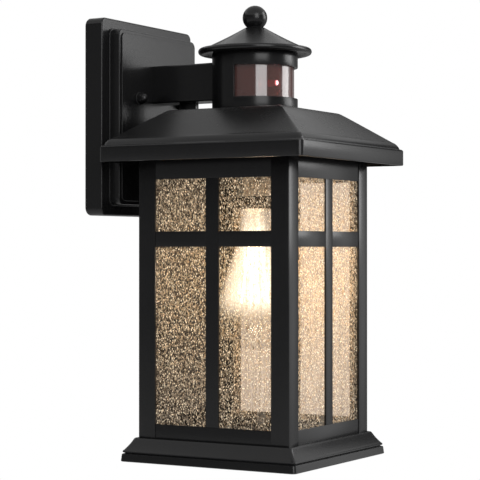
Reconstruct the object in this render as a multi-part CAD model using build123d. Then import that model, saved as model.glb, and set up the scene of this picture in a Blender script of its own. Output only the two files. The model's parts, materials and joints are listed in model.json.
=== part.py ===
from build123d import *
import math
import os

os.makedirs("parts", exist_ok=True)

# Frame: X to the side, Y into the wall (the lantern stands out towards -Y), Z up.
# The origin is the centre of the wall bracket's slots, on the wall plane. Millimetres.

# --- driving dimensions ---

# wall side
PLATE_Z = -16.4          # centre of the wall plate below the fixing line
PLATE_W = 138.0
PLATE_H = 161.6
PAN_DEPTH = 16.7         # wall plane to the front of the pan
STEP_W = 118.0
STEP_H = 144.0
STEP_DEPTH = 10.4
FOOT_EDGE = 0.8          # small foot moulding round the step
FOOT_DEPTH = 1.6
PANEL_W = 113.0
PANEL_H = 137.7
PANEL_DEPTH = 1.2
PLATE_SKIN = 2.0
GASKET_T = 1.5
GASKET_W = 6.0
PLATE_FRONT = PAN_DEPTH + STEP_DEPTH + PANEL_DEPTH

BRACKET_L = 108.0
BRACKET_W = 20.0
BRACKET_T = 1.6
BOX_SCREW_SPACING = 88.9
SLOT_L = 13.0
SLOT_R = 2.3
STUD_X = 31.5
STUD_R = 2.0
STUD_HOLE_R = 2.4
GROUND_X = 18.0
WIRE_HOLE_R = 5.2

# arm
ARM_W = 25.0
ARM_H = 31.3
ARM_Z = 12.75
ARM_WALL = 2.0
BOSS_R = 3.4
BOSS_L = 12.0
ARM_SCREW_DZ = 9.4
SCREW_R = 1.7
SCREW_HOLE_R = 1.75
LUG_NEAR = 55.3          # from the lantern axis towards the wall
LUG_FAR = 71.5
LUG_W = 5.0

# lantern axis and roof, all as half widths of a square
AXIS_Y = -120.6
ROOF_TOP = 51.5
ROOF_TOP_Z = -12.6
ROOF_BREAK = 85.6
ROOF_BREAK_Z = -36.4
SHOULDER = [(86.9, -37.4), (88.3, -38.8), (89.4, -40.3), (89.9, -41.5), (91.1, -42.0)]
EAVE = 92.0
FASCIA_TOP_Z = -42.9
EAVE_Z = -55.2
ROOF_SKIN = 2.0
ROOF_BOSS = 52.0

# cage
BODY = 68.5
POST = 15.7
CAGE_T = 2.0
CAGE_TOP_Z = -48.0
PANE_TOP_Z = -69.1
BAR_TOP_Z = -110.6
BAR_BOTTOM_Z = -122.9
PANE_BOTTOM_Z = -264.2
CAGE_BOTTOM_Z = -275.8
MULLION_W = 11.7
BAR_SETBACK = 0.4
GLASS_T = 2.4
GLASS_LAP = 5.0

# base tray
BASE_Z = -294.5

# sensor turret
TURRET_R = 35.0
TURRET_IN_R = 32.2
TURRET_TOP_Z = 35.0
WINDOW_BOTTOM_Z = -2.5
WINDOW_TOP_Z = 22.8
LENS_R = 32.0
LENS_T = 1.6
FLANGE_T = 2.0
BOARD_T = 1.6
BOARD_Y = AXIS_Y - 13.0
BOARD_TOP_Z = ROOF_TOP_Z + FLANGE_T + BOARD_T
BRIDGE_Z = TURRET_TOP_Z - 2.0
BRIDGE_L = 62.0
BRIM_R = 46.4
BEAD_R = 2.6
BEAD_Z = 36.2
CONE_TOP_R = 8.0
CONE_TOP_Z = 56.0
CAP_SKIN = 1.8
BALL_R = 10.1
BALL_Z = 64.0

# lamp holder and bulb
NIPPLE_R = 4.9
NIPPLE_BORE_R = 3.4
SOCKET_TOP_Z = -57.0
SKIRT_TOP_Z = -82.0
SKIRT_BOTTOM_Z = -92.0
SKIRT_R = 23.0
HOLDER_R = 15.5
SHELL_IN_R = 13.4
BULB_SHELL_R = 13.05
BULB_TIP_Z = -66.3
BULB_BOTTOM_Z = -207.2
BULB_R = 32.0
BULB_NECK_R = BULB_SHELL_R - 0.65
BULB_NECK_Z = BULB_TIP_Z - 22.0
BULB_CENTRE_Z = BULB_BOTTOM_Z + BULB_R

# control box, on the underside of the holder plate
CONTROL_Y = AXIS_Y + 47.0
CONTROL_Z = CAGE_TOP_Z - 12.0


# --- helpers ---

def wall_sheet(depth, z=0.0, x=0.0):
    """Plane parallel to the wall at a depth, facing away from it."""
    return Plane(origin=(x, -depth, z), x_dir=(1, 0, 0), z_dir=(0, -1, 0))


def level(z, y=AXIS_Y, x=0.0):
    """Horizontal plane on the lantern axis."""
    return Plane(origin=(x, y, z), x_dir=(1, 0, 0), z_dir=(0, 0, 1))


def block(x0, x1, y0, y1, z0, z1):
    """Box given by its six faces."""
    size = (x1 - x0, y1 - y0, z1 - z0)
    return Pos((x0 + x1) / 2, (y0 + y1) / 2, (z0 + z1) / 2) * Box(*size)


def rod(radius, z0, z1, x=0.0, y=AXIS_Y):
    """Upright cylinder between two heights."""
    return extrude(level(z0, y, x) * Circle(radius), z1 - z0)


def rod_out(radius, depth0, depth1, x=0.0, z=0.0):
    """Cylinder that points away from the wall."""
    return extrude(wall_sheet(depth0, z, x) * Circle(radius), depth1 - depth0)


def turned(points, y=AXIS_Y, x=0.0, z=0.0):
    """Solid of revolution about an upright axis, from a closed (radius, z) outline."""
    outline = make_face(Polyline(*[(r, 0, h) for r, h in points], close=True))
    return Pos(x, y, z) * revolve(outline, Axis.Z)


def square_stack(profile, corner):
    """Solid made of square slices: profile is a list of (half width, z), highest first."""
    body = None
    for (half_a, z_a), (half_b, z_b) in zip(profile, profile[1:]):
        upper = level(z_a) * RectangleRounded(2 * half_a, 2 * half_a, corner)
        lower = level(z_b) * RectangleRounded(2 * half_b, 2 * half_b, corner)
        piece = loft([upper, lower], ruled=True)
        body = piece if body is None else body + piece
    return body


def on_side(shape, quarter):
    """Turn a shape made for the front side round the lantern axis by quarter turns."""
    about = Pos(0, AXIS_Y, 0) * Rot(0, 0, 90 * quarter) * Pos(0, -AXIS_Y, 0)
    return about * shape


# --- wall side ---

def wall_bracket():
    strip = extrude(wall_sheet(0) * SlotOverall(BRACKET_L, BRACKET_W), BRACKET_T)
    for side in (-1, 1):
        slot = wall_sheet(0, 0, side * BOX_SCREW_SPACING / 2) * SlotOverall(SLOT_L, 2 * SLOT_R)
        strip -= extrude(slot, BRACKET_T)
        strip -= rod_out(STUD_R + 0.05, 0, BRACKET_T, side * STUD_X)
    strip -= rod_out(WIRE_HOLE_R, 0, BRACKET_T)
    strip -= rod_out(SCREW_R + 0.05, 0, BRACKET_T, GROUND_X)
    return strip


def ground_screw():
    shank = rod_out(SCREW_R, 0.2, BRACKET_T + 0.1, GROUND_X)
    head = rod_out(4.2, BRACKET_T, BRACKET_T + 2.4, GROUND_X)
    drive = extrude(wall_sheet(BRACKET_T + 1.2, 0, GROUND_X) * Rectangle(8.6, 1.0), 2.0)
    return shank + head - drive


def mounting_studs():
    studs = []
    for side in (-1, 1):
        studs.append(rod_out(STUD_R, 0.2, PLATE_FRONT + 6.0, side * STUD_X))
    return Compound(studs)


def stud_locknuts():
    nuts = []
    for side in (-1, 1):
        hexagon = wall_sheet(BRACKET_T, 0, side * STUD_X) * RegularPolygon(4.0, 6)
        nuts.append(extrude(hexagon, 2.4) - rod_out(STUD_R + 0.05, 0, 8, side * STUD_X))
    return Compound(nuts)


def nut_washers():
    rings = []
    for side in (-1, 1):
        ring = rod_out(5.4, PLATE_FRONT, PLATE_FRONT + 0.8, side * STUD_X)
        rings.append(ring - rod_out(STUD_R + 0.3, 0, 60, side * STUD_X))
    return Compound(rings)


def cap_nut(side):
    base = PLATE_FRONT + 0.8
    x = side * STUD_X
    hexagon = extrude(wall_sheet(base, 0, x) * RegularPolygon(4.8, 6), 3.4)
    dome = Pos(x, -(base + 3.6), 0) * Sphere(4.2)
    dome -= block(x - 6, x + 6, -(base + 1.0), 0, -6, 6)
    nut = hexagon + dome
    return nut - rod_out(STUD_R + 0.06, base - 1, PLATE_FRONT + 6.3, x)


def plate_tier(width, height, corner, depth0, depth1):
    sheet = wall_sheet(depth0, PLATE_Z) * RectangleRounded(width, height, corner)
    return extrude(sheet, depth1 - depth0)


def front_edges(shape, depth):
    return shape.edges().filter_by_position(Axis.Y, -depth - 0.01, -depth + 0.01)


def backplate():
    pan = plate_tier(PLATE_W, PLATE_H, 6.0, GASKET_T, PAN_DEPTH)
    pan = fillet(front_edges(pan, PAN_DEPTH), 1.4)
    step_front = PAN_DEPTH + STEP_DEPTH
    step = plate_tier(STEP_W, STEP_H, 5.5, PAN_DEPTH - 1.0, step_front)
    step = fillet(front_edges(step, step_front), 1.0)
    foot_w = STEP_W + 2 * FOOT_EDGE
    foot_h = STEP_H + 2 * FOOT_EDGE
    foot = plate_tier(foot_w, foot_h, 6.3, PAN_DEPTH - 1.0, PAN_DEPTH + FOOT_DEPTH)
    foot = fillet(front_edges(foot, PAN_DEPTH + FOOT_DEPTH), 0.6)
    panel = plate_tier(PANEL_W, PANEL_H, 4.5, step_front - 1.0, PLATE_FRONT)
    panel = fillet(front_edges(panel, PLATE_FRONT), 0.5)
    shell = pan + foot + step + panel
    inset = 2 * PLATE_SKIN
    pan_depth_in = PAN_DEPTH - PLATE_SKIN
    shell -= plate_tier(PLATE_W - inset, PLATE_H - inset, 5.0, 0, pan_depth_in)
    shell -= plate_tier(STEP_W - inset, STEP_H - inset, 3.5, 0, step_front - PLATE_SKIN / 2)
    for side in (-1, 1):
        shell -= rod_out(STUD_HOLE_R, 0, 60, side * STUD_X)
        shell -= rod_out(SCREW_HOLE_R, 0, 60, 0, ARM_Z + side * ARM_SCREW_DZ)
    wireway = wall_sheet(0, ARM_Z) * Rectangle(ARM_W - 12, 9.0)
    return shell - extrude(wireway, 60)


def wall_gasket():
    outer = plate_tier(PLATE_W - 1, PLATE_H - 1, 6.5, 0, GASKET_T)
    width = PLATE_W - 1 - 2 * GASKET_W
    height = PLATE_H - 1 - 2 * GASKET_W
    return outer - plate_tier(width, height, 3.0, 0, GASKET_T)


# --- arm ---

def turret_bore(radius):
    return rod(radius, -60, 100)


def arm():
    section = Rectangle(ARM_W, ARM_H)
    tube = extrude(wall_sheet(PLATE_FRONT, ARM_Z) * section, 70)
    tube = fillet(tube.edges().filter_by(Axis.Y), 1.6)
    inner = RectangleRounded(ARM_W - 2 * ARM_WALL, ARM_H - 2 * ARM_WALL, 0.8)
    tube -= extrude(wall_sheet(PLATE_FRONT, ARM_Z) * inner, 70)
    far = -AXIS_Y
    for side in (-1, 1):
        z = ARM_Z + side * ARM_SCREW_DZ
        tube += rod_out(BOSS_R, PLATE_FRONT, PLATE_FRONT + BOSS_L, 0, z)
        tube += rod_out(BOSS_R, far - TURRET_R - BOSS_L, far, 0, z)
        tube -= rod_out(SCREW_HOLE_R, 0, PLATE_FRONT + BOSS_L - 2, 0, z)
        tube -= rod_out(SCREW_HOLE_R, far - TURRET_R - BOSS_L + 2, far, 0, z)
    return tube - turret_bore(TURRET_R + 0.02)


def arm_screws():
    """Two screws from inside the wall plate and two from inside the turret."""
    screws = []
    back = PLATE_FRONT - PANEL_DEPTH - PLATE_SKIN / 2
    inside = -AXIS_Y - TURRET_IN_R + 0.3
    for side in (-1, 1):
        z = ARM_Z + side * ARM_SCREW_DZ
        shank = rod_out(SCREW_R, back - 0.1, back + 10.5, 0, z)
        screws.append(shank + rod_out(3.2, back - 2.0, back, 0, z))
        shank = rod_out(SCREW_R, inside - 11.5, inside + 0.1, 0, z)
        screws.append(shank + rod_out(3.2, inside, inside + 2.0, 0, z))
    return Compound(screws)


def roof_height(half):
    """Height of the roof's outer slope at a half width."""
    slope = (ROOF_TOP_Z - ROOF_BREAK_Z) / (ROOF_BREAK - ROOF_TOP)
    return ROOF_TOP_Z - slope * (half - ROOF_TOP)


def arm_lug():
    """Rib between the arm and the roof's rear slope."""
    under_arm = ARM_Z - ARM_H / 2
    side = make_face(
        Polyline(
            (0, AXIS_Y + LUG_NEAR, under_arm),
            (0, AXIS_Y + LUG_FAR, under_arm),
            (0, AXIS_Y + LUG_FAR, roof_height(LUG_FAR)),
            (0, AXIS_Y + LUG_NEAR, roof_height(LUG_NEAR)),
            close=True,
        )
    )
    return extrude(side, LUG_W / 2, both=True)


# --- roof ---

def roof_profile(inset, drop, bottom):
    """Outline of the roof from flat top to fascia, moved inwards and down."""
    top = (ROOF_TOP - inset * 0.5, ROOF_TOP_Z - drop)
    edge = [(ROOF_BREAK, ROOF_BREAK_Z)] + SHOULDER + [(EAVE, FASCIA_TOP_Z)]
    return [top] + [(half - inset, z - drop) for half, z in edge] + [(EAVE - inset, bottom)]


def roof():
    outer = square_stack(roof_profile(0, 0, EAVE_Z), 4.4)
    shell = outer - square_stack(roof_profile(ROOF_SKIN, ROOF_SKIN, EAVE_Z - 1), 2.6)
    plate_top = CAGE_TOP_Z + 1.5
    for sx in (-1, 1):
        for sy in (-1, 1):
            x = sx * ROOF_BOSS
            y = AXIS_Y + sy * ROOF_BOSS
            shell += rod(4.0, plate_top, roof_height(ROOF_BOSS + 4) - 1.0, x, y)
            shell -= rod(SCREW_HOLE_R, plate_top - 1, plate_top + 12, x, y)
    shell -= rod(NIPPLE_R + 0.1, ROOF_TOP_Z - 5, ROOF_TOP_Z + 5)
    for x, y in turret_screw_places():
        shell -= rod(SCREW_HOLE_R, ROOF_TOP_Z - 5, ROOF_TOP_Z + 5, x, y)
    return shell


def turret_screw_places():
    radius = 26.5
    places = []
    for i in range(3):
        turn = math.radians(90 + 120 * i)
        places.append((radius * math.cos(turn), AXIS_Y + radius * math.sin(turn)))
    return places


def roof_screws():
    """Three screws up into the turret's flange and four up into the roof's bosses."""
    under = ROOF_TOP_Z - ROOF_SKIN
    screws = []
    for x, y in turret_screw_places():
        shank = rod(SCREW_R, under - 0.1, ROOF_TOP_Z + FLANGE_T - 0.2, x, y)
        screws.append(shank + rod(3.3, under - 2.2, under, x, y))
    under = CAGE_TOP_Z
    for sx in (-1, 1):
        for sy in (-1, 1):
            x = sx * ROOF_BOSS
            y = AXIS_Y + sy * ROOF_BOSS
            shank = rod(SCREW_R, under - 0.1, under + 11, x, y)
            screws.append(shank + rod(3.3, under - 2.2, under, x, y))
    return Compound(screws)


# --- sensor turret ---

def turret_housing():
    wall = rod(TURRET_R, ROOF_TOP_Z, TURRET_TOP_Z) - rod(TURRET_IN_R, ROOF_TOP_Z, TURRET_TOP_Z)
    flange = rod(TURRET_R, ROOF_TOP_Z, ROOF_TOP_Z + FLANGE_T)
    flange -= rod(22.0, ROOF_TOP_Z, ROOF_TOP_Z + FLANGE_T)
    body = wall + flange
    front = AXIS_Y - TURRET_R - 1
    body -= block(-40, 40, front, AXIS_Y, WINDOW_BOTTOM_Z, WINDOW_TOP_Z)
    for side in (-1, 1):
        lug = block(26, 33, AXIS_Y - 5, AXIS_Y + 5, BRIDGE_Z - 4, BRIDGE_Z)
        lug -= rod(1.3, BRIDGE_Z - 4, BRIDGE_Z, 28.5)
        body += lug if side > 0 else on_side(lug, 2)
        z = ARM_Z + side * ARM_SCREW_DZ
        body -= rod_out(SCREW_HOLE_R, 0, -AXIS_Y, 0, z)
    opening = wall_sheet(-AXIS_Y - TURRET_R - 1, ARM_Z) * Rectangle(ARM_W - 12, 9.0)
    body -= extrude(opening, 10)
    for x, y in turret_screw_places():
        body -= rod(SCREW_HOLE_R, ROOF_TOP_Z - 1, ROOF_TOP_Z + FLANGE_T + 1, x, y)
    return body


def sensor_lens():
    bottom = ROOF_TOP_Z + FLANGE_T + BOARD_T
    tube = rod(LENS_R, bottom, 27.0) - rod(LENS_R - LENS_T, bottom, 27.0)
    return tube - block(-40, 40, AXIS_Y + 3.0, AXIS_Y + 40, bottom - 1, 60)


def driver_board():
    z0 = ROOF_TOP_Z + FLANGE_T
    disc = rod(LENS_R, z0, z0 + BOARD_T)
    return disc - rod(9.5, z0, z0 + BOARD_T)


def sensor_board():
    board = block(-17, 17, BOARD_Y, BOARD_Y + BOARD_T, BOARD_TOP_Z, 26)
    return board


def pyro_element():
    can = extrude(wall_sheet(-BOARD_Y, 10.1, 9.0) * Circle(4.6), 0.6)
    can += extrude(wall_sheet(-BOARD_Y, 10.1, 9.0) * Circle(4.1), 4.2)
    return can - extrude(wall_sheet(-BOARD_Y + 3.9, 10.1, 9.0) * Rectangle(4.4, 3.4), 1.0)


def status_led():
    body = extrude(wall_sheet(-BOARD_Y, 10.1) * Circle(2.5), 6.0)
    body += extrude(wall_sheet(-BOARD_Y, 10.1) * Circle(2.9), 1.0)
    return body + Pos(0, BOARD_Y - 6.0, 10.1) * Sphere(2.5)


def relay():
    body = block(-19, -1, AXIS_Y + 11, AXIS_Y + 26, BOARD_TOP_Z, BOARD_TOP_Z + 15)
    return fillet(body.edges(), 0.6)


def supply_capacitor():
    can = rod(5.0, BOARD_TOP_Z, BOARD_TOP_Z + 14, 12.0, AXIS_Y + 16)
    return fillet(can.edges(), 0.8)


def cap_bridge():
    strap = block(-BRIDGE_L / 2, BRIDGE_L / 2, AXIS_Y - 4.5, AXIS_Y + 4.5, BRIDGE_Z, TURRET_TOP_Z)
    strap -= rod(STUD_R + 0.06, BRIDGE_Z, TURRET_TOP_Z)
    for side in (-1, 1):
        strap -= rod(1.4, BRIDGE_Z, TURRET_TOP_Z, side * 28.5)
    return strap


def bridge_screws():
    screws = []
    for side in (-1, 1):
        x = side * 28.5
        shank = rod(1.25, BRIDGE_Z - 3.8, TURRET_TOP_Z + 0.1, x)
        screws.append(shank + rod(2.5, TURRET_TOP_Z, TURRET_TOP_Z + 1.6, x))
    return Compound(screws)


def turret_cap():
    slope = (CONE_TOP_Z - BEAD_Z - 1.9) / (BRIM_R - BEAD_R - 1.0 - CONE_TOP_R)
    edge_r = BRIM_R - BEAD_R - 1.0
    edge_z = CONE_TOP_Z - slope * (edge_r - CONE_TOP_R)
    cone = turned(
        [
            (STUD_R + 0.3, CONE_TOP_Z),
            (CONE_TOP_R, CONE_TOP_Z),
            (edge_r, edge_z),
            (edge_r, edge_z - CAP_SKIN - 0.3),
            (CONE_TOP_R, CONE_TOP_Z - CAP_SKIN - 0.3),
            (STUD_R + 0.3, CONE_TOP_Z - CAP_SKIN - 0.3),
        ]
    )
    bead = Pos(0, AXIS_Y, BEAD_Z) * Torus(BRIM_R - BEAD_R, BEAD_R)
    seat_r = TURRET_IN_R + 0.2
    seat_z = CONE_TOP_Z - slope * (seat_r - CONE_TOP_R) - 1.0
    seat = rod(TURRET_R - 0.6, TURRET_TOP_Z, seat_z - slope * 2) - rod(seat_r, TURRET_TOP_Z, 60)
    return cone + bead + seat


def finial():
    ball = Pos(0, AXIS_Y, BALL_Z) * Sphere(BALL_R)
    ball -= rod(BALL_R, BALL_Z - BALL_R - 1, CONE_TOP_Z)
    neck = rod(6.3, CONE_TOP_Z, CONE_TOP_Z + 3)
    stud = rod(STUD_R, BRIDGE_Z - 5, CONE_TOP_Z + 1)
    return ball + neck + stud


# --- cage ---

def corner_post(quarter):
    """Angle section on the near corner between the front and the -X side, then turned."""
    x0 = -BODY
    y0 = AXIS_Y - BODY
    leg_a = block(x0, x0 + POST, y0, y0 + CAGE_T, CAGE_BOTTOM_Z, CAGE_TOP_Z)
    leg_b = block(x0, x0 + CAGE_T, y0, y0 + POST, CAGE_BOTTOM_Z, CAGE_TOP_Z)
    angle = leg_a + leg_b
    outer = [e for e in angle.edges().filter_by(Axis.Z) if abs(e.center().X - x0) < 0.01]
    outer = [e for e in outer if abs(e.center().Y - y0) < 0.01]
    return on_side(fillet(outer, 0.8), quarter)


def front_strip(x0, x1, z0, z1):
    """Flat bar of the cage's front side, set back a little from the posts' faces."""
    y0 = AXIS_Y - BODY + BAR_SETBACK
    return block(x0, x1, y0, y0 + CAGE_T - BAR_SETBACK, z0, z1)


def rails(z0, z1):
    """One rail between the posts on each of the four sides."""
    inner = BODY - POST
    rail = front_strip(-inner, inner, z0, z1)
    return Compound([on_side(rail, quarter) for quarter in range(4)])


def glazing_bars(quarter):
    """A full-height mullion with a crossbar on each side of it."""
    inner = BODY - POST
    half = MULLION_W / 2
    bars = [
        front_strip(-half, half, PANE_BOTTOM_Z, PANE_TOP_Z),
        front_strip(-inner, -half, BAR_BOTTOM_Z, BAR_TOP_Z),
        front_strip(half, inner, BAR_BOTTOM_Z, BAR_TOP_Z),
    ]
    return Compound([on_side(bar, quarter) for bar in bars])


def glass_pane(quarter):
    half = BODY - POST + GLASS_LAP
    y0 = AXIS_Y - BODY + CAGE_T
    top = PANE_TOP_Z + GLASS_LAP
    pane = block(-half, half, y0, y0 + GLASS_T, PANE_BOTTOM_Z - GLASS_LAP, top)
    return on_side(pane, quarter)


def back_panel():
    half = BODY - POST + 8.0
    y1 = AXIS_Y + BODY - CAGE_T
    return block(-half, half, y1 - 1.2, y1, CAGE_BOTTOM_Z + 6.0, CAGE_TOP_Z - 2.0)


def glass_clips():
    """Bent tabs that hold each pane to its rails, at the top and at the bottom."""
    clips = []
    y_glass = AXIS_Y - BODY + CAGE_T + GLASS_T
    for quarter in (-1, 0, 1):
        for z, up in ((PANE_TOP_Z + GLASS_LAP, 1), (PANE_BOTTOM_Z - GLASS_LAP, -1)):
            for x in (-30, 30):
                z0, z1 = sorted((z - up * 5, z + up * 5))
                tongue = block(x - 4, x + 4, y_glass, y_glass + 0.8, z0, z1)
                a0, a1 = sorted((z + up * 0.2, z + up * 5))
                root = block(x - 4, x + 4, AXIS_Y - BODY + CAGE_T, y_glass + 0.8, a0, a1)
                clips.append(on_side(tongue + root, quarter))
    return Compound(clips)


# --- base tray ---

def base_tray():
    top = CAGE_BOTTOM_Z
    profile = [
        (71.1, top),
        (71.9, top - 0.6),
        (73.9, top - 4.4),
        (76.9, top - 8.6),
        (78.1, top - 10.0),
        (78.5, top - 11.2),
        (77.6, top - 11.9),
        (78.9, top - 12.5),
        (79.5, BASE_Z + 0.6),
        (79.1, BASE_Z),
    ]
    tray = square_stack(profile, 3.0)
    well = level(BASE_Z - 1) * Rectangle(2 * 69.0, 2 * 69.0)
    tray -= extrude(well, top - 2.0 - BASE_Z + 1)
    opening = level(BASE_Z - 1) * Rectangle(2 * 60.0, 2 * 60.0)
    tray -= extrude(opening, 40)
    for x, y in tray_screw_places():
        tray -= rod(SCREW_HOLE_R, top - 5, top + 1, x, y)
    return tray


def tray_screw_places():
    at = BODY - 5.2
    return [(sx * at, AXIS_Y + sy * at) for sx in (-1, 1) for sy in (-1, 1)]


def corner_gussets():
    """Small blocks in the posts' feet that take the tray screws."""
    blocks = []
    for sx in (-1, 1):
        for sy in (-1, 1):
            x0, x1 = sorted((sx * (BODY - CAGE_T), sx * (BODY - 10)))
            y0, y1 = sorted((sy * (BODY - CAGE_T), sy * (BODY - 10)))
            foot = block(x0, x1, AXIS_Y + y0, AXIS_Y + y1, CAGE_BOTTOM_Z, CAGE_BOTTOM_Z + 5)
            at = BODY - 5.2
            hole = rod(SCREW_HOLE_R, CAGE_BOTTOM_Z, CAGE_BOTTOM_Z + 5, sx * at, AXIS_Y + sy * at)
            blocks.append(foot - hole)
    return Compound(blocks)


def tray_screws():
    under = CAGE_BOTTOM_Z - 2.0
    screws = []
    for x, y in tray_screw_places():
        shank = rod(SCREW_R, under - 0.1, CAGE_BOTTOM_Z + 4.5, x, y)
        screws.append(shank + rod(3.2, under - 2.0, under, x, y))
    return Compound(screws)


# --- lamp holder ---

def holder_plate():
    half = BODY
    plate = extrude(level(CAGE_TOP_Z) * RectangleRounded(2 * half, 2 * half, 1.0), 1.5)
    plate -= rod(NIPPLE_R + 0.1, CAGE_TOP_Z - 1, CAGE_TOP_Z + 3)
    for sx in (-1, 1):
        for sy in (-1, 1):
            x = sx * ROOF_BOSS
            plate -= rod(SCREW_HOLE_R, CAGE_TOP_Z - 1, CAGE_TOP_Z + 3, x, AXIS_Y + sy * ROOF_BOSS)
    return plate


def nipple():
    bottom = SOCKET_TOP_Z - 3.0
    return rod(NIPPLE_R, bottom, -6.5) - rod(NIPPLE_BORE_R, bottom, -6.5)


def nipple_nuts():
    nuts = []
    seats = (ROOF_TOP_Z, ROOF_TOP_Z - ROOF_SKIN - 3, CAGE_TOP_Z + 1.5, CAGE_TOP_Z - 3)
    for z in seats:
        hexagon = extrude(level(z) * RegularPolygon(8.2, 6), 3.0)
        nuts.append(hexagon - rod(NIPPLE_R + 0.02, z, z + 3))
    return Compound(nuts)


def socket_cap():
    """Drawn metal cover of the lamp holder, open towards the bulb."""
    top = SOCKET_TOP_Z
    return turned(
        [
            (NIPPLE_R + 0.02, top),
            (9.5, top),
            (HOLDER_R - 1.0, top - 4.0),
            (HOLDER_R, top - 7.0),
            (HOLDER_R, SKIRT_TOP_Z),
            (HOLDER_R - 0.8, SKIRT_TOP_Z),
            (HOLDER_R - 0.8, top - 7.0),
            (HOLDER_R - 2.0, top - 4.4),
            (9.0, top - 1.0),
            (NIPPLE_R + 0.02, top - 1.0),
        ]
    )


def socket_skirt():
    """Moulded collar of the lamp holder, with a shadow groove under its top edge."""
    inner = SHELL_IN_R + 0.7
    return turned(
        [
            (inner, SKIRT_TOP_Z),
            (SKIRT_R - 1.0, SKIRT_TOP_Z),
            (SKIRT_R, SKIRT_TOP_Z - 1.0),
            (SKIRT_R, SKIRT_BOTTOM_Z + 1.2),
            (SKIRT_R - 1.2, SKIRT_BOTTOM_Z),
            (inner, SKIRT_BOTTOM_Z),
        ]
    )


def socket_shell():
    outer = SHELL_IN_R + 0.6
    top = BULB_TIP_Z - 1.5
    return turned(
        [(SHELL_IN_R, top), (outer, top), (outer, SKIRT_BOTTOM_Z + 1), (SHELL_IN_R, SKIRT_BOTTOM_Z + 1)]
    )


def socket_core():
    """Insulating disc that carries the centre contact."""
    disc = rod(13.2, BULB_TIP_Z + 0.8, BULB_TIP_Z + 3.6)
    return disc - rod(1.3, BULB_TIP_Z, BULB_TIP_Z + 5, 6.0)


def centre_contact():
    strip = block(-6.0, 6.0, AXIS_Y - 2.5, AXIS_Y + 2.5, BULB_TIP_Z + 0.2, BULB_TIP_Z + 0.8)
    return strip + rod(1.2, BULB_TIP_Z + 0.8, BULB_TIP_Z + 3.4, 6.0)


# --- bulb ---

def bulb_base():
    shell_top = BULB_TIP_Z - 5.0
    shell_bottom = BULB_TIP_Z - 25.0
    return turned(
        [
            (0, BULB_TIP_Z),
            (4.6, BULB_TIP_Z),
            (4.9, BULB_TIP_Z - 1.0),
            (6.0, BULB_TIP_Z - 1.6),
            (11.6, shell_top + 0.6),
            (BULB_SHELL_R, shell_top - 0.8),
            (BULB_SHELL_R, shell_bottom),
            (BULB_SHELL_R - 0.6, shell_bottom),
            (BULB_SHELL_R - 0.6, shell_top - 1.2),
            (5.4, BULB_TIP_Z - 2.6),
            (0, BULB_TIP_Z - 2.6),
        ]
    )


def bulb_solid(inset):
    neck_r = BULB_NECK_R - inset
    radius = BULB_R - inset
    turn = math.radians(12)
    join = (radius * math.cos(turn), BULB_CENTRE_Z + radius * math.sin(turn))
    with BuildSketch(Plane.XZ) as side:
        with BuildLine():
            arc = RadiusArc((0, BULB_CENTRE_Z - radius), join, -radius)
            neck = (neck_r, BULB_NECK_Z - 6)
            curve = Spline(join, neck, tangents=[(-math.sin(turn), math.cos(turn)), (0, 1)])
            Polyline(neck, (neck_r, BULB_NECK_Z), (0, BULB_NECK_Z), (0, BULB_CENTRE_Z - radius))
        make_face()
    return Pos(0, AXIS_Y, 0) * revolve(side.sketch, Axis.Z)


def bulb_glass():
    shell = bulb_solid(0) - bulb_solid(0.9)
    return shell - rod(BULB_NECK_R - 0.9, BULB_NECK_Z - 3, BULB_NECK_Z + 3)


def bulb_stem():
    top = BULB_NECK_Z - 2.0
    foot = BULB_CENTRE_Z + 16.0
    return turned(
        [
            (0, top),
            (BULB_NECK_R - 1.0, top),
            (BULB_NECK_R - 1.2, top - 1.0),
            (4.0, top - 4.0),
            (2.6, top - 12.0),
            (2.2, foot),
            (0, foot - 1.0),
        ]
    )


def led_filaments():
    sticks = []
    length = 50.0
    middle = BULB_CENTRE_Z + 31.0
    for i in range(4):
        tilt = Pos(0, AXIS_Y, middle) * Rot(0, 0, 45 + 90 * i) * Pos(8.0, 0, 0) * Rot(0, -8, 0)
        sticks.append(tilt * Cylinder(0.9, length))
    return Compound(sticks)


# --- control box on the holder plate ---

def control_box():
    body = block(-22, 22, CONTROL_Y - 10, CONTROL_Y + 10, CONTROL_Z, CAGE_TOP_Z)
    body = fillet(body.edges().filter_by(Axis.Z), 2.0)
    for side in (-1, 1):
        body -= rod(2.06, CONTROL_Z - 1, CONTROL_Z + 8, side * 10, CONTROL_Y)
    return body


def control_dial(side):
    x = side * 10
    knob = rod(5.5, CONTROL_Z - 5.0, CONTROL_Z - 0.3, x, CONTROL_Y)
    knob = fillet(knob.edges().group_by(Axis.Z)[0], 0.6)
    knob -= block(x - 0.5, x + 0.5, CONTROL_Y + 0.5, CONTROL_Y + 6, CONTROL_Z - 6, CONTROL_Z - 4.2)
    for i in range(12):
        turn = math.radians(30 * i + 15)
        flute_x = x + 5.9 * math.cos(turn)
        flute_y = CONTROL_Y + 5.9 * math.sin(turn)
        knob -= rod(0.9, CONTROL_Z - 6, CONTROL_Z, flute_x, flute_y)
    return knob + rod(2.0, CONTROL_Z - 1, CONTROL_Z + 7, x, CONTROL_Y)


SIDES = {"front": 0, "right": 1, "left": -1}

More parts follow.
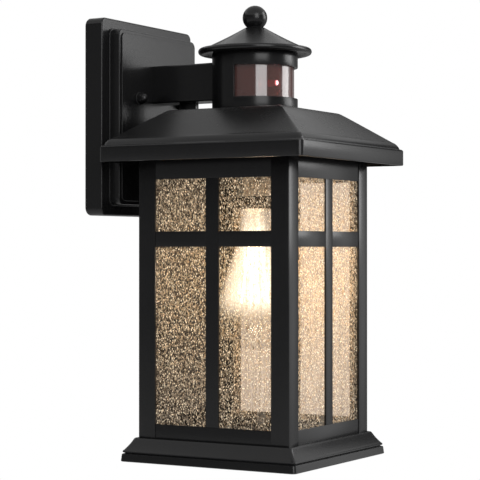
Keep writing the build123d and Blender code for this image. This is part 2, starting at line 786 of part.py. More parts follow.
NODES = {
    "wall_bracket": wall_bracket(),
    "ground_screw": ground_screw(),
    "mounting_studs": mounting_studs(),
    "stud_locknuts": stud_locknuts(),
    "nut_washers": nut_washers(),
    "cap_nut_left": cap_nut(-1),
    "cap_nut_right": cap_nut(1),
    "wall_gasket": wall_gasket(),
    "backplate": backplate(),
    "arm": arm(),
    "arm_screws": arm_screws(),
    "arm_lug": arm_lug(),
    "roof": roof(),
    "roof_screws": roof_screws(),
    "turret_housing": turret_housing(),
    "sensor_lens": sensor_lens(),
    "driver_board": driver_board(),
    "sensor_board": sensor_board(),
    "pyro_element": pyro_element(),
    "status_led": status_led(),
    "relay": relay(),
    "supply_capacitor": supply_capacitor(),
    "cap_bridge": cap_bridge(),
    "bridge_screws": bridge_screws(),
    "turret_cap": turret_cap(),
    "finial": finial(),
    "post_front_left": corner_post(0),
    "post_front_right": corner_post(1),
    "post_back_right": corner_post(2),
    "post_back_left": corner_post(3),
    "top_rails": rails(PANE_TOP_Z, CAGE_TOP_Z),
    "bottom_rails": rails(CAGE_BOTTOM_Z, PANE_BOTTOM_Z),
    "back_panel": back_panel(),
    "glass_clips": glass_clips(),
    "base_tray": base_tray(),
    "corner_gussets": corner_gussets(),
    "tray_screws": tray_screws(),
    "holder_plate": holder_plate(),
    "nipple": nipple(),
    "nipple_nuts": nipple_nuts(),
    "socket_cap": socket_cap(),
    "socket_skirt": socket_skirt(),
    "socket_shell": socket_shell(),
    "socket_core": socket_core(),
    "centre_contact": centre_contact(),
    "bulb_base": bulb_base(),
    "bulb_glass": bulb_glass(),
    "bulb_stem": bulb_stem(),
    "led_filaments": led_filaments(),
    "control_box": control_box(),
    "time_dial": control_dial(-1),
    "range_dial": control_dial(1),
}

for place, turn in SIDES.items():
    NODES["glazing_bars_" + place] = glazing_bars(turn)
    NODES["glass_" + place] = glass_pane(turn)

for node, shape in NODES.items():
    export_step(shape, "parts/" + node + ".step")
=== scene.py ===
# Outdoor wall lantern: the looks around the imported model.
# Lengths are metres. X runs to the side, Y into the wall, Z up.
import json
import math
import random

import bmesh
import bpy
from mathutils import Matrix, Vector, noise


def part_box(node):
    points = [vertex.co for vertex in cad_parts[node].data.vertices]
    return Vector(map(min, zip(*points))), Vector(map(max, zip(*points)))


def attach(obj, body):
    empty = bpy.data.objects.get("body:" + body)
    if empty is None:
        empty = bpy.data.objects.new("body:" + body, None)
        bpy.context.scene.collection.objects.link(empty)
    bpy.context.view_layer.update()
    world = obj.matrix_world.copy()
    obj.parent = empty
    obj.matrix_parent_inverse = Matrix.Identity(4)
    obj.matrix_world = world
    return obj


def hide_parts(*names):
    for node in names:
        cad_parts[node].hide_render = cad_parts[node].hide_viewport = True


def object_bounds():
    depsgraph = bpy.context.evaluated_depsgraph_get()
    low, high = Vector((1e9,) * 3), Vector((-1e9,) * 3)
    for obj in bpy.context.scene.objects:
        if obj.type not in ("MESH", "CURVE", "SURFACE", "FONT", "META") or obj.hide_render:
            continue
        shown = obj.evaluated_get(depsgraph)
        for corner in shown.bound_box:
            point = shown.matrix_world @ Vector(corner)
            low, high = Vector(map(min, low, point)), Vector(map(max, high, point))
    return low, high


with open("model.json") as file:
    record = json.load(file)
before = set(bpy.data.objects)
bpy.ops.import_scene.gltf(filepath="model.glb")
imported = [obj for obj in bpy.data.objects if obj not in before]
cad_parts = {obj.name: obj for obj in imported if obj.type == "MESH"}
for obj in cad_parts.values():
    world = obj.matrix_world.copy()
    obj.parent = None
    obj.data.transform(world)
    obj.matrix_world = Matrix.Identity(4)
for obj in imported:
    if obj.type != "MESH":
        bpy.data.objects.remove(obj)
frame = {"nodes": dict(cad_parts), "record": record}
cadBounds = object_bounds()
print("frame loaded:", len(frame["nodes"]), "nodes")

scene = bpy.context.scene

# the lantern's own upright axis, read from the turret
turretLow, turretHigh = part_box("turret_housing")
axisX = (turretLow.x + turretHigh.x) / 2
axisY = (turretLow.y + turretHigh.y) / 2
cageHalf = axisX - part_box("post_front_left")[0].x


# helpers for node trees
def addNode(tree, kind, x, y, settings=None, **sockets):
    node = tree.nodes.new(kind)
    node.location = (x, y)
    for key, value in (settings or {}).items():
        setattr(node, key, value)
    for key, value in sockets.items():
        node.inputs[key.replace("_", " ")].default_value = value
    return node


def addRamp(tree, x, y, stops, interpolation="EASE"):
    node = addNode(tree, "ShaderNodeValToRGB", x, y)
    ramp = node.color_ramp
    ramp.interpolation = interpolation
    while len(ramp.elements) < len(stops):
        ramp.elements.new(0.5)
    for element, (place, colour) in zip(ramp.elements, stops):
        element.position = place
        if not hasattr(colour, "__len__"):
            colour = (colour, colour, colour)
        element.color = (*colour, 1.0)
    return node


def addMath(tree, operation, x, y, first, second=None, clamp=False):
    node = addNode(tree, "ShaderNodeMath", x, y, {"operation": operation, "use_clamp": clamp})
    for socket, value in zip(node.inputs, (first, second)):
        if value is None:
            continue
        if isinstance(value, (int, float)):
            socket.default_value = value
        else:
            tree.links.new(value, socket)
    return node.outputs[0]


def mixColours(tree, x, y, amount, first, second, blend="MIX"):
    node = addNode(tree, "ShaderNodeMix", x, y, {"data_type": "RGBA", "blend_type": blend})
    for socket, value in zip((node.inputs[0], node.inputs[6], node.inputs[7]), (amount, first, second)):
        if isinstance(value, (int, float)):
            socket.default_value = value
        elif isinstance(value, tuple):
            socket.default_value = (*value, 1.0)
        else:
            tree.links.new(value, socket)
    return node.outputs[2]


def newMaterial(name):
    material = bpy.data.materials.new(name)
    material.use_nodes = True
    tree = material.node_tree
    tree.nodes.clear()
    output = addNode(tree, "ShaderNodeOutputMaterial", 900, 0)
    shader = addNode(tree, "ShaderNodeBsdfPrincipled", 560, 0)
    tree.links.new(shader.outputs[0], output.inputs["Surface"])
    return material, tree, shader


def newGroup(name, inputs, outputs):
    group = bpy.data.node_groups.new(name, "ShaderNodeTree")
    for label, start in inputs:
        socket = group.interface.new_socket(label, in_out="INPUT", socket_type="NodeSocketFloat")
        socket.default_value = start
    for label in outputs:
        group.interface.new_socket(label, in_out="OUTPUT", socket_type="NodeSocketFloat")
    return group, addNode(group, "NodeGroupInput", -900, 0), addNode(group, "NodeGroupOutput", 700, 0)


def placeGroup(tree, group, x, y, **values):
    node = addNode(tree, "ShaderNodeGroup", x, y, {"node_tree": group})
    for key, value in values.items():
        node.inputs[key.replace("_", " ")].default_value = value
    return node


def makePeelGroup():
    # the fine orange-peel skin of a baked powder coat, with a few pinhead specks
    group, entry, leave = newGroup(
        "powderPeel", [("Grain Scale", 850.0), ("Fleck Amount", 0.3)], ["Height", "Flecks", "Cloud"])
    link = group.links.new
    place = addNode(group, "ShaderNodeTexCoord", -900, -260)
    peel = addNode(group, "ShaderNodeTexNoise", -560, 220, Detail=2.0, Roughness=0.45)
    link(place.outputs["Object"], peel.inputs["Vector"])
    link(entry.outputs["Grain Scale"], peel.inputs["Scale"])
    fine = addNode(group, "ShaderNodeTexNoise", -560, 0, Detail=1.0, Scale=3200.0)
    link(place.outputs["Object"], fine.inputs["Vector"])
    tall = addMath(group, "MULTIPLY", -340, 0, fine.outputs["Fac"], 0.22)
    height = addMath(group, "ADD", -160, 120, peel.outputs["Fac"], tall)
    specks = addNode(group, "ShaderNodeTexVoronoi", -560, -220, {"feature": "F1"}, Scale=260.0)
    link(place.outputs["Object"], specks.inputs["Vector"])
    near = addMath(group, "LESS_THAN", -340, -220, specks.outputs["Distance"], 0.085)
    flecks = addMath(group, "MULTIPLY", -160, -220, near, entry.outputs["Fleck Amount"])
    cloud = addNode(group, "ShaderNodeTexNoise", -560, -460, Detail=3.0, Scale=26.0)
    link(place.outputs["Object"], cloud.inputs["Vector"])
    link(height, leave.inputs["Height"])
    link(flecks, leave.inputs["Flecks"])
    link(cloud.outputs["Fac"], leave.inputs["Cloud"])
    return group


def makeEdgeGroup():
    # a mask of the rounded corners, where handling polishes the finish; the meshes carry it
    group, entry, leave = newGroup("edgeRub", [("Spread", 0.5), ("Breakup", 0.6)], ["Mask"])
    link = group.links.new
    edge = addNode(group, "ShaderNodeAttribute", -700, 120, {"attribute_name": "cornerRub"})
    place = addNode(group, "ShaderNodeTexCoord", -900, -200)
    patch = addNode(group, "ShaderNodeTexNoise", -700, -160, Scale=150.0, Detail=4.0, Roughness=0.7)
    link(place.outputs["Object"], patch.inputs["Vector"])
    broken = addMath(group, "MULTIPLY", -480, -160, patch.outputs["Fac"], entry.outputs["Breakup"])
    kept = addMath(group, "SUBTRACT", -300, 60, edge.outputs["Fac"], broken)
    mask = addMath(group, "MULTIPLY", -120, 60, kept, entry.outputs["Spread"], clamp=True)
    link(mask, leave.inputs["Mask"])
    return group


def makeDustGroup():
    # fine dust that settles on what faces up
    group, entry, leave = newGroup("dustFilm", [("Amount", 0.3), ("Patch Scale", 60.0)], ["Mask"])
    link = group.links.new
    surface = addNode(group, "ShaderNodeNewGeometry", -900, 200)
    split = addNode(group, "ShaderNodeSeparateXYZ", -700, 200)
    link(surface.outputs["Normal"], split.inputs[0])
    facing = addMath(group, "SUBTRACT", -520, 200, split.outputs["Z"], 0.25)
    facing = addMath(group, "MULTIPLY", -360, 200, facing, 1.4, clamp=True)
    place = addNode(group, "ShaderNodeTexCoord", -900, -100)
    patch = addNode(group, "ShaderNodeTexNoise", -560, -60, Detail=6.0, Roughness=0.68)
    link(place.outputs["Object"], patch.inputs["Vector"])
    link(entry.outputs["Patch Scale"], patch.inputs["Scale"])
    shown = addMath(group, "MULTIPLY", -160, 100, facing, patch.outputs["Fac"])
    shown = addMath(group, "MULTIPLY", 60, 100, shown, entry.outputs["Amount"], clamp=True)
    link(shown, leave.inputs["Mask"])
    return group


def makeBrushGroup():
    # long fine lines along Z for drawn or turned metal, with blotches
    group, entry, leave = newGroup(
        "metalGrain", [("Line Scale", 900.0), ("Blotch Scale", 120.0)], ["Lines", "Blotches"])
    link = group.links.new
    place = addNode(group, "ShaderNodeTexCoord", -900, 0)
    stretch = addNode(group, "ShaderNodeMapping", -720, 100)
    stretch.inputs["Scale"].default_value = (0.06, 0.06, 1.0)
    link(place.outputs["Object"], stretch.inputs["Vector"])
    lines = addNode(group, "ShaderNodeTexNoise", -480, 100, Detail=3.0)
    link(stretch.outputs["Vector"], lines.inputs["Vector"])
    link(entry.outputs["Line Scale"], lines.inputs["Scale"])
    blotch = addNode(group, "ShaderNodeTexVoronoi", -480, -160, {"feature": "SMOOTH_F1"})
    link(place.outputs["Object"], blotch.inputs["Vector"])
    link(entry.outputs["Blotch Scale"], blotch.inputs["Scale"])
    link(lines.outputs["Fac"], leave.inputs["Lines"])
    link(blotch.outputs["Distance"], leave.inputs["Blotches"])
    return group


peelGroup = makePeelGroup()
edgeGroup = makeEdgeGroup()
dustGroup = makeDustGroup()
brushGroup = makeBrushGroup()


def coatedFinish(name, look):
    # painted or moulded skin: colour cloud, dust, rubbed corners and a peel bump
    material, tree, shader = newMaterial(name)
    link = tree.links.new
    peel = placeGroup(tree, peelGroup, -700, -200, Grain_Scale=look["grain"], Fleck_Amount=look["flecks"])
    edge = placeGroup(tree, edgeGroup, -700, 60, Spread=look["rub"], Breakup=0.55)
    dust = placeGroup(tree, dustGroup, -700, 260, Amount=look["dust"])
    tone = mixColours(tree, -420, 200, peel.outputs["Cloud"], look["colour"], look["colourLow"])
    tone = mixColours(tree, -220, 200, peel.outputs["Flecks"], tone, look["speck"])
    tone = mixColours(tree, -20, 200, edge.outputs["Mask"], tone, look["rubColour"])
    tone = mixColours(tree, 180, 200, dust.outputs["Mask"], tone, look["dustColour"])
    link(tone, shader.inputs["Base Color"])
    rough = addMath(tree, "MULTIPLY", -420, -40, peel.outputs["Cloud"], look["roughSwing"])
    rough = addMath(tree, "ADD", -240, -40, rough, look["rough"])
    polished = addMath(tree, "MULTIPLY", -240, -120, edge.outputs["Mask"], 0.12)
    rough = addMath(tree, "SUBTRACT", -60, -40, rough, polished)
    dusty = addMath(tree, "MULTIPLY", -60, -120, dust.outputs["Mask"], 0.5)
    rough = addMath(tree, "ADD", 120, -40, rough, dusty, clamp=True)
    link(rough, shader.inputs["Roughness"])
    bump = addNode(tree, "ShaderNodeBump", 240, -260, Strength=look["bump"], Distance=0.00006)
    link(peel.outputs["Height"], bump.inputs["Height"])
    link(bump.outputs["Normal"], shader.inputs["Normal"])
    shader.inputs["IOR"].default_value = look["ior"]
    return material


def metalFinish(name, look):
    material, tree, shader = newMaterial(name)
    link = tree.links.new
    grain = placeGroup(tree, brushGroup, -700, 0, Line_Scale=look["lines"], Blotch_Scale=look["blotch"])
    edge = placeGroup(tree, edgeGroup, -700, 240, Spread=0.7, Breakup=0.4)
    tone = mixColours(tree, -380, 160, grain.outputs["Blotches"], look["colour"], look["colourLow"])
    tone = mixColours(tree, -160, 160, edge.outputs["Mask"], tone, look["rubColour"])
    link(tone, shader.inputs["Base Color"])
    rough = addMath(tree, "MULTIPLY", -380, -60, grain.outputs["Blotches"], 0.22)
    rough = addMath(tree, "ADD", -200, -60, rough, look["rough"], clamp=True)
    link(rough, shader.inputs["Roughness"])
    bump = addNode(tree, "ShaderNodeBump", 240, -260, Strength=look["bump"], Distance=0.00005)
    link(grain.outputs["Lines"], bump.inputs["Height"])
    link(bump.outputs["Normal"], shader.inputs["Normal"])
    shader.inputs["Metallic"].default_value = look["metal"]
    return material


coatLook = {
    "colour": (0.0092, 0.0092, 0.0098), "colourLow": (0.0058, 0.0058, 0.0062),
    "speck": (0.019, 0.019, 0.020),
    "rubColour": (0.034, 0.034, 0.036), "dustColour": (0.06, 0.058, 0.055),
    "grain": 850.0, "flecks": 0.3, "rub": 0.45, "dust": 0.12,
    "rough": 0.20, "roughSwing": 0.08, "bump": 0.24, "ior": 1.5}
powderBlack = coatedFinish("powderBlack", coatLook)
controlPlastic = coatedFinish("controlPlastic", dict(
    coatLook, colour=(0.045, 0.045, 0.047), colourLow=(0.036, 0.036, 0.038), rubColour=(0.09, 0.09, 0.092),
    grain=1500.0, rough=0.46, bump=0.5, dust=0.3))
holderCollar = coatedFinish("holderCollar", dict(
    coatLook, colour=(0.03, 0.022, 0.017), colourLow=(0.02, 0.015, 0.012), rubColour=(0.06, 0.05, 0.04),
    grain=500.0, rough=0.24, bump=0.14, dust=0.1))
relayCase = coatedFinish("relayCase", dict(
    coatLook, colour=(0.012, 0.075, 0.25), colourLow=(0.009, 0.055, 0.2), rubColour=(0.05, 0.14, 0.34),
    grain=1800.0, rough=0.34, bump=0.2))
capacitorSleeve = coatedFinish("capacitorSleeve", dict(
    coatLook, colour=(0.018, 0.022, 0.05), colourLow=(0.012, 0.015, 0.036), rubColour=(0.05, 0.055, 0.09),
    grain=420.0, rough=0.22, bump=0.12))
washerRubber = coatedFinish("washerRubber", dict(
    coatLook, colour=(0.016, 0.016, 0.016), colourLow=(0.011, 0.011, 0.011),
    grain=1400.0, rough=0.62, bump=0.5))
groundGreen = coatedFinish("groundGreen", dict(
    coatLook, colour=(0.03, 0.24, 0.07), colourLow=(0.02, 0.17, 0.05), rubColour=(0.25, 0.4, 0.22),
    grain=1100.0, rough=0.3, bump=0.2, rub=0.9))
zincSteel = metalFinish("zincSteel", {
    "colour": (0.62, 0.62, 0.60), "colourLow": (0.44, 0.45, 0.46), "rubColour": (0.8, 0.8, 0.79),
    "lines": 1400.0, "blotch": 210.0, "rough": 0.26, "bump": 0.3, "metal": 1.0})
holderMetal = metalFinish("holderMetal", {
    "colour": (0.74, 0.71, 0.66), "colourLow": (0.58, 0.55, 0.5), "rubColour": (0.9, 0.88, 0.84),
    "lines": 900.0, "blotch": 90.0, "rough": 0.2, "bump": 0.25, "metal": 1.0})
contactBrass = metalFinish("contactBrass", {
    "colour": (0.72, 0.49, 0.19), "colourLow": (0.52, 0.33, 0.12), "rubColour": (0.86, 0.66, 0.34),
    "lines": 1200.0, "blotch": 160.0, "rough": 0.24, "bump": 0.3, "metal": 1.0})
bulbCapMetal = metalFinish("bulbCapMetal", {
    "colour": (0.78, 0.78, 0.77), "colourLow": (0.62, 0.62, 0.62), "rubColour": (0.9, 0.9, 0.89),
    "lines": 1500.0, "blotch": 260.0, "rough": 0.22, "bump": 0.25, "metal": 1.0})
sensorCan = metalFinish("sensorCan", {
    "colour": (0.7, 0.69, 0.66), "colourLow": (0.55, 0.54, 0.52), "rubColour": (0.85, 0.85, 0.83),
    "lines": 2000.0, "blotch": 600.0, "rough": 0.28, "bump": 0.15, "metal": 1.0})


foamLook = {"dark": (0.012, 0.012, 0.013), "light": (0.04, 0.04, 0.042), "stain": (0.024, 0.023, 0.022),
            "cells": 1300.0, "rough": 0.6, "bump": 0.8}


def foamFinish(look):
    material, tree, shader = newMaterial("gasketFoam")
    link = tree.links.new
    place = addNode(tree, "ShaderNodeTexCoord", -900, 0)
    cells = addNode(tree, "ShaderNodeTexVoronoi", -640, 100, {"feature": "F1"}, Scale=look["cells"])
    link(place.outputs["Object"], cells.inputs["Vector"])
    stain = addNode(tree, "ShaderNodeTexNoise", -640, -160, Scale=45.0, Detail=4.0)
    link(place.outputs["Object"], stain.inputs["Vector"])
    tone = mixColours(tree, -300, 140, cells.outputs["Distance"], look["dark"], look["light"])
    tone = mixColours(tree, -100, 140, stain.outputs["Fac"], tone, look["stain"])
    link(tone, shader.inputs["Base Color"])
    rough = addMath(tree, "ADD", -100, -60, cells.outputs["Distance"], look["rough"], clamp=True)
    link(rough, shader.inputs["Roughness"])
    bump = addNode(tree, "ShaderNodeBump", 240, -260, Strength=look["bump"], Distance=0.0002)
    link(cells.outputs["Distance"], bump.inputs["Height"])
    link(bump.outputs["Normal"], shader.inputs["Normal"])
    return material


boardLook = {"mask": (0.012, 0.09, 0.035), "run": (0.03, 0.17, 0.06), "pad": (0.62, 0.6, 0.52),
             "runs": 420.0, "pads": 230.0, "padSize": 0.16, "padMetal": 0.9, "rough": 0.2, "bump": 0.4}


def boardFinish(look):
    # green solder mask over copper runs, with tinned pads
    material, tree, shader = newMaterial("circuitBoard")
    link = tree.links.new
    place = addNode(tree, "ShaderNodeTexCoord", -1000, 0)
    runs = addNode(tree, "ShaderNodeTexBrick", -760, 160, {"offset": 0.37},
                   Scale=look["runs"], Mortar_Size=0.14, Mortar_Smooth=0.2)
    link(place.outputs["Object"], runs.inputs["Vector"])
    pads = addNode(tree, "ShaderNodeTexVoronoi", -760, -160, {"feature": "F1", "distance": "CHEBYCHEV"},
                   Scale=look["pads"])
    link(place.outputs["Object"], pads.inputs["Vector"])
    padMask = addMath(tree, "LESS_THAN", -520, -160, pads.outputs["Distance"], look["padSize"])
    cloth = addNode(tree, "ShaderNodeTexNoise", -760, -400, Scale=1600.0, Detail=2.0)
    link(place.outputs["Object"], cloth.inputs["Vector"])
    tone = mixColours(tree, -300, 200, runs.outputs["Fac"], look["mask"], look["run"])
    tone = mixColours(tree, -80, 200, padMask, tone, look["pad"])
    link(tone, shader.inputs["Base Color"])
    link(addMath(tree, "MULTIPLY", -80, 40, padMask, look["padMetal"]), shader.inputs["Metallic"])
    rough = addMath(tree, "MULTIPLY", -80, -60, cloth.outputs["Fac"], 0.18)
    link(addMath(tree, "ADD", 100, -60, rough, look["rough"], clamp=True), shader.inputs["Roughness"])
    height = addMath(tree, "ADD", -80, -260, padMask, runs.outputs["Fac"])
    bump = addNode(tree, "ShaderNodeBump", 240, -260, Strength=look["bump"], Distance=0.00008)
    link(height, bump.inputs["Height"])
    link(bump.outputs["Normal"], shader.inputs["Normal"])
    return material


gasketFoam = foamFinish(foamLook)
circuitBoard = boardFinish(boardLook)

# seeded glass: the small bubbles and ripples carry gold and pale flecks; their colour and emission are painted glints
# of the lamp, brighter the nearer the lamp
seededLook = {
    "tint": (0.98, 0.93, 0.88), "film": 0.07, "fleckCover": 0.46,
    "dark": (0.030, 0.022, 0.015), "goldGlint": (0.86, 0.58, 0.27), "paleGlint": (1.0, 0.84, 0.60),
    "distantGlint": (0.52, 0.46, 0.40), "seedScale": 880.0, "dotScale": 640.0, "streakScale": 430.0,
    "streakCover": 0.15, "lineCover": 0.34, "fade": 2.4, "bump": 0.55,
    "goldGlow": 0.80, "paleGlow": 2.6, "glow": 1.45, "reach": 0.092, "rough": 0.07}


def seededFinish(look):
    material, tree, shader = newMaterial("seededGlass")
    link = tree.links.new
    place = addNode(tree, "ShaderNodeTexCoord", -1700, 0)
    # seeds lie a little aslant and are longer than they are wide
    lean = addNode(tree, "ShaderNodeMapping", -1500, 200)
    lean.inputs["Rotation"].default_value = (0.5, 0.35, 0.0)
    lean.inputs["Scale"].default_value = (1.0, 1.0, 0.55)
    link(place.outputs["Object"], lean.inputs["Vector"])
    seeds = addNode(tree, "ShaderNodeTexNoise", -1280, 320, Scale=look["seedScale"],
                    Detail=2.5, Roughness=0.62, Distortion=0.9)
    link(lean.outputs["Vector"], seeds.inputs["Vector"])
    dots = addNode(tree, "ShaderNodeTexVoronoi", -1280, 60, {"feature": "F1"}, Scale=look["dotScale"])
    link(lean.outputs["Vector"], dots.inputs["Vector"])
    pull = addNode(tree, "ShaderNodeMapping", -1500, -220)
    pull.inputs["Scale"].default_value = (1.0, 1.0, 0.035)
    link(place.outputs["Object"], pull.inputs["Vector"])
    streaks = addNode(tree, "ShaderNodeTexNoise", -1280, -200, Scale=look["streakScale"],
                      Detail=3.0, Roughness=0.6)
    link(pull.outputs["Vector"], streaks.inputs["Vector"])
    broad = addNode(tree, "ShaderNodeTexNoise", -1280, -440, Scale=70.0, Detail=3.0, Roughness=0.6)
    link(place.outputs["Object"], broad.inputs["Vector"])

    goldGlintMask = addRamp(tree, -1020, 320, [(0.53, 0.0), (0.60, 1.0)])
    link(seeds.outputs["Fac"], goldGlintMask.inputs["Fac"])
    paleGlintMask = addRamp(tree, -1020, 60, [(0.17, 1.0), (0.27, 0.0)])
    link(dots.outputs["Distance"], paleGlintMask.inputs["Fac"])
    streakMask = addRamp(tree, -1020, -200, [(0.50, 0.0), (0.60, 1.0)])
    link(streaks.outputs["Fac"], streakMask.inputs["Fac"])
    darkLine = addRamp(tree, -1020, -440, [(0.28, 1.0), (0.36, 0.0)])
    link(streaks.outputs["Fac"], darkLine.inputs["Fac"])

    # how near the lamp is: the painted lamp light on the flecks fades with this distance
    away = addNode(tree, "ShaderNodeVectorMath", -1280, -700, {"operation": "DISTANCE"})
    away.inputs[1].default_value = look["lamp"]
    link(place.outputs["Object"], away.inputs[0])
    scaled = addMath(tree, "DIVIDE", -1100, -700, away.outputs["Value"], look["reach"])
    squared = addMath(tree, "POWER", -940, -700, scaled, look["fade"])
    paintedLampFalloff = addMath(tree, "DIVIDE", -780, -700, 1.0, addMath(tree, "ADD", -860, -820, squared, 1.0))

    # painted glints: fleck colour turns from the distant tone to gold the nearer the lamp
    goldGlint = mixColours(tree, -760, 320, paintedLampFalloff, look["distantGlint"], look["goldGlint"])
    colour = mixColours(tree, -560, 300, goldGlintMask.outputs["Color"], look["dark"], goldGlint)
    colour = mixColours(tree, -380, 300, paleGlintMask.outputs["Color"], colour, look["paleGlint"])
    link(colour, shader.inputs["Base Color"])

    flecks = addMath(tree, "MAXIMUM", -760, 60, goldGlintMask.outputs["Color"], paleGlintMask.outputs["Color"])
    cover = addMath(tree, "MULTIPLY", -560, 40, flecks, look["fleckCover"])
    cover = addMath(tree, "ADD", -400, 40, cover, look["film"])
    streaky = addMath(tree, "MULTIPLY", -560, -140, streakMask.outputs["Color"], look["streakCover"])
    cover = addMath(tree, "ADD", -240, 20, cover, streaky)
    lines = addMath(tree, "MULTIPLY", -560, -260, darkLine.outputs["Color"], look["lineCover"])
    cover = addMath(tree, "ADD", -80, 0, cover, lines, clamp=True)

    # painted glints: the flecks glow, most strongly near the lamp
    lit = addMath(tree, "MULTIPLY", -640, -420, goldGlintMask.outputs["Color"], look["goldGlow"])
    hot = addMath(tree, "MULTIPLY", -640, -500, paleGlintMask.outputs["Color"], look["paleGlow"])
    lit = addMath(tree, "MAXIMUM", -480, -420, lit, hot)
    lit = addMath(tree, "MULTIPLY", -240, -420, lit, paintedLampFalloff)
    uneven = addMath(tree, "ADD", -400, -560, broad.outputs["Fac"], 0.5)
    lit = addMath(tree, "MULTIPLY", -80, -420, lit, uneven)
    glow = mixColours(tree, 100, -420, lit, (0.0, 0.0, 0.0), colourOfGlow(tree, look, paintedLampFalloff, paleGlintMask))
    link(glow, shader.inputs["Emission Color"])
    shader.inputs["Emission Strength"].default_value = look["glow"]
    shader.inputs["Roughness"].default_value = look["rough"]
    shader.inputs["IOR"].default_value = 1.52

    bumpHeight = addMath(tree, "ADD", -80, -860, seeds.outputs["Fac"], dots.outputs["Distance"])
    bump = addNode(tree, "ShaderNodeBump", 240, -760, Strength=look["bump"], Distance=0.0004)
    link(bumpHeight, bump.inputs["Height"])
    link(bump.outputs["Normal"], shader.inputs["Normal"])

    clear = addNode(tree, "ShaderNodeBsdfTransparent", 560, 160, Color=(*look["tint"], 1.0))
    both = addNode(tree, "ShaderNodeMixShader", 740, 60)
    link(cover, both.inputs[0])
    link(clear.outputs[0], both.inputs[1])
    link(shader.outputs[0], both.inputs[2])
    link(both.outputs[0], tree.nodes["Material Output"].inputs["Surface"])
    return material


def colourOfGlow(tree, look, paintedLampFalloff, paleGlintMask):
    # colour of the painted glints: gold near the lamp, pale on the dots
    warm = mixColours(tree, -760, -560, paintedLampFalloff, look["distantGlint"], look["goldGlint"])
    return mixColours(tree, -560, -620, paleGlintMask.outputs["Color"], warm, look["paleGlint"])


bulbLow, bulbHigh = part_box("bulb_glass")
bulbRadius = (bulbHigh.x - bulbLow.x) / 2
bulbCentreZ = bulbLow.z + bulbRadius
filamentLow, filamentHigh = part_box("led_filaments")
lampZ = (filamentLow.z + filamentHigh.z) / 2
seededLook["lamp"] = (axisX, axisY, lampZ - 0.004)
seededGlass = seededFinish(seededLook)


lensLook = {"colour": (0.135, 0.034, 0.026), "colourLow": (0.100, 0.026, 0.020),
            "ridge": (0.150, 0.042, 0.032), "grooves": 160.0, "rough": 0.05, "cover": 0.66, "ior": 2.1, "specular": 0.8}


def lensFinish(look):
    # smoky red-brown window, glossy, with the fine grooves of its inner face
    material, tree, shader = newMaterial("smokedLens")
    link = tree.links.new
    place = addNode(tree, "ShaderNodeTexCoord", -900, 0)
    grooves = addNode(tree, "ShaderNodeTexWave", -640, -160, {"wave_type": "BANDS", "bands_direction": "Z"},
                      Scale=look["grooves"])
    link(place.outputs["Object"], grooves.inputs["Vector"])
    haze = addNode(tree, "ShaderNodeTexNoise", -640, 120, Scale=90.0, Detail=3.0)
    link(place.outputs["Object"], haze.inputs["Vector"])
    tone = mixColours(tree, -300, 160, haze.outputs["Fac"], look["colour"], look["colourLow"])
    tone = mixColours(tree, -100, 160, grooves.outputs["Fac"], tone, look["ridge"])
    link(tone, shader.inputs["Base Color"])
    cloud = addMath(tree, "MULTIPLY", -300, -40, haze.outputs["Fac"], 0.05)
    link(addMath(tree, "ADD", -120, -40, cloud, look["rough"]), shader.inputs["Roughness"])
    seeThrough = addMath(tree, "MULTIPLY", -300, -300, grooves.outputs["Fac"], 0.06)
    link(addMath(tree, "ADD", -120, -300, seeThrough, look["cover"]), shader.inputs["Alpha"])
    bump = addNode(tree, "ShaderNodeBump", 240, -260, Strength=0.1, Distance=0.00005)
    link(grooves.outputs["Fac"], bump.inputs["Height"])
    link(bump.outputs["Normal"], shader.inputs["Normal"])
    shader.inputs["IOR"].default_value = look["ior"]
    shader.inputs["Specular IOR Level"].default_value = look["specular"]
    return material


def glowingFinish(name, colour, rim, strength, roughness, alpha=None, scale=300.0):
    # glowing parts, the lamp's filaments and the painted glow of the glass stem: brighter in the middle of a noise
    # cloud, dimmer at its edges
    material, tree, shader = newMaterial(name)
    link = tree.links.new
    place = addNode(tree, "ShaderNodeTexCoord", -700, 0)
    cloud = addNode(tree, "ShaderNodeTexNoise", -480, 60, Scale=scale, Detail=2.0)
    link(place.outputs["Object"], cloud.inputs["Vector"])
    tone = mixColours(tree, -200, 60, cloud.outputs["Fac"], colour, rim)
    link(tone, shader.inputs["Base Color"])
    link(tone, shader.inputs["Emission Color"])
    rough = addMath(tree, "MULTIPLY", -340, -140, cloud.outputs["Fac"], 0.06)
    link(addMath(tree, "ADD", -200, -140, rough, roughness), shader.inputs["Roughness"])
    shader.inputs["Emission Strength"].default_value = strength
    if alpha is not None:
        veil = addMath(tree, "MULTIPLY", -340, -300, cloud.outputs["Fac"], 0.06)
        link(addMath(tree, "ADD", -200, -300, veil, alpha), shader.inputs["Alpha"])
    return material


smokedLens = lensFinish(lensLook)


statusLook = {"body": (0.45, 0.02, 0.02), "bodyHigh": (0.6, 0.03, 0.03), "glow": (1.0, 0.06, 0.05),
              "tip": (1.0, 0.62, 0.66), "reach": 0.0060, "tipGlow": 26.0, "bodyGlow": 0.5, "rough": 0.12}


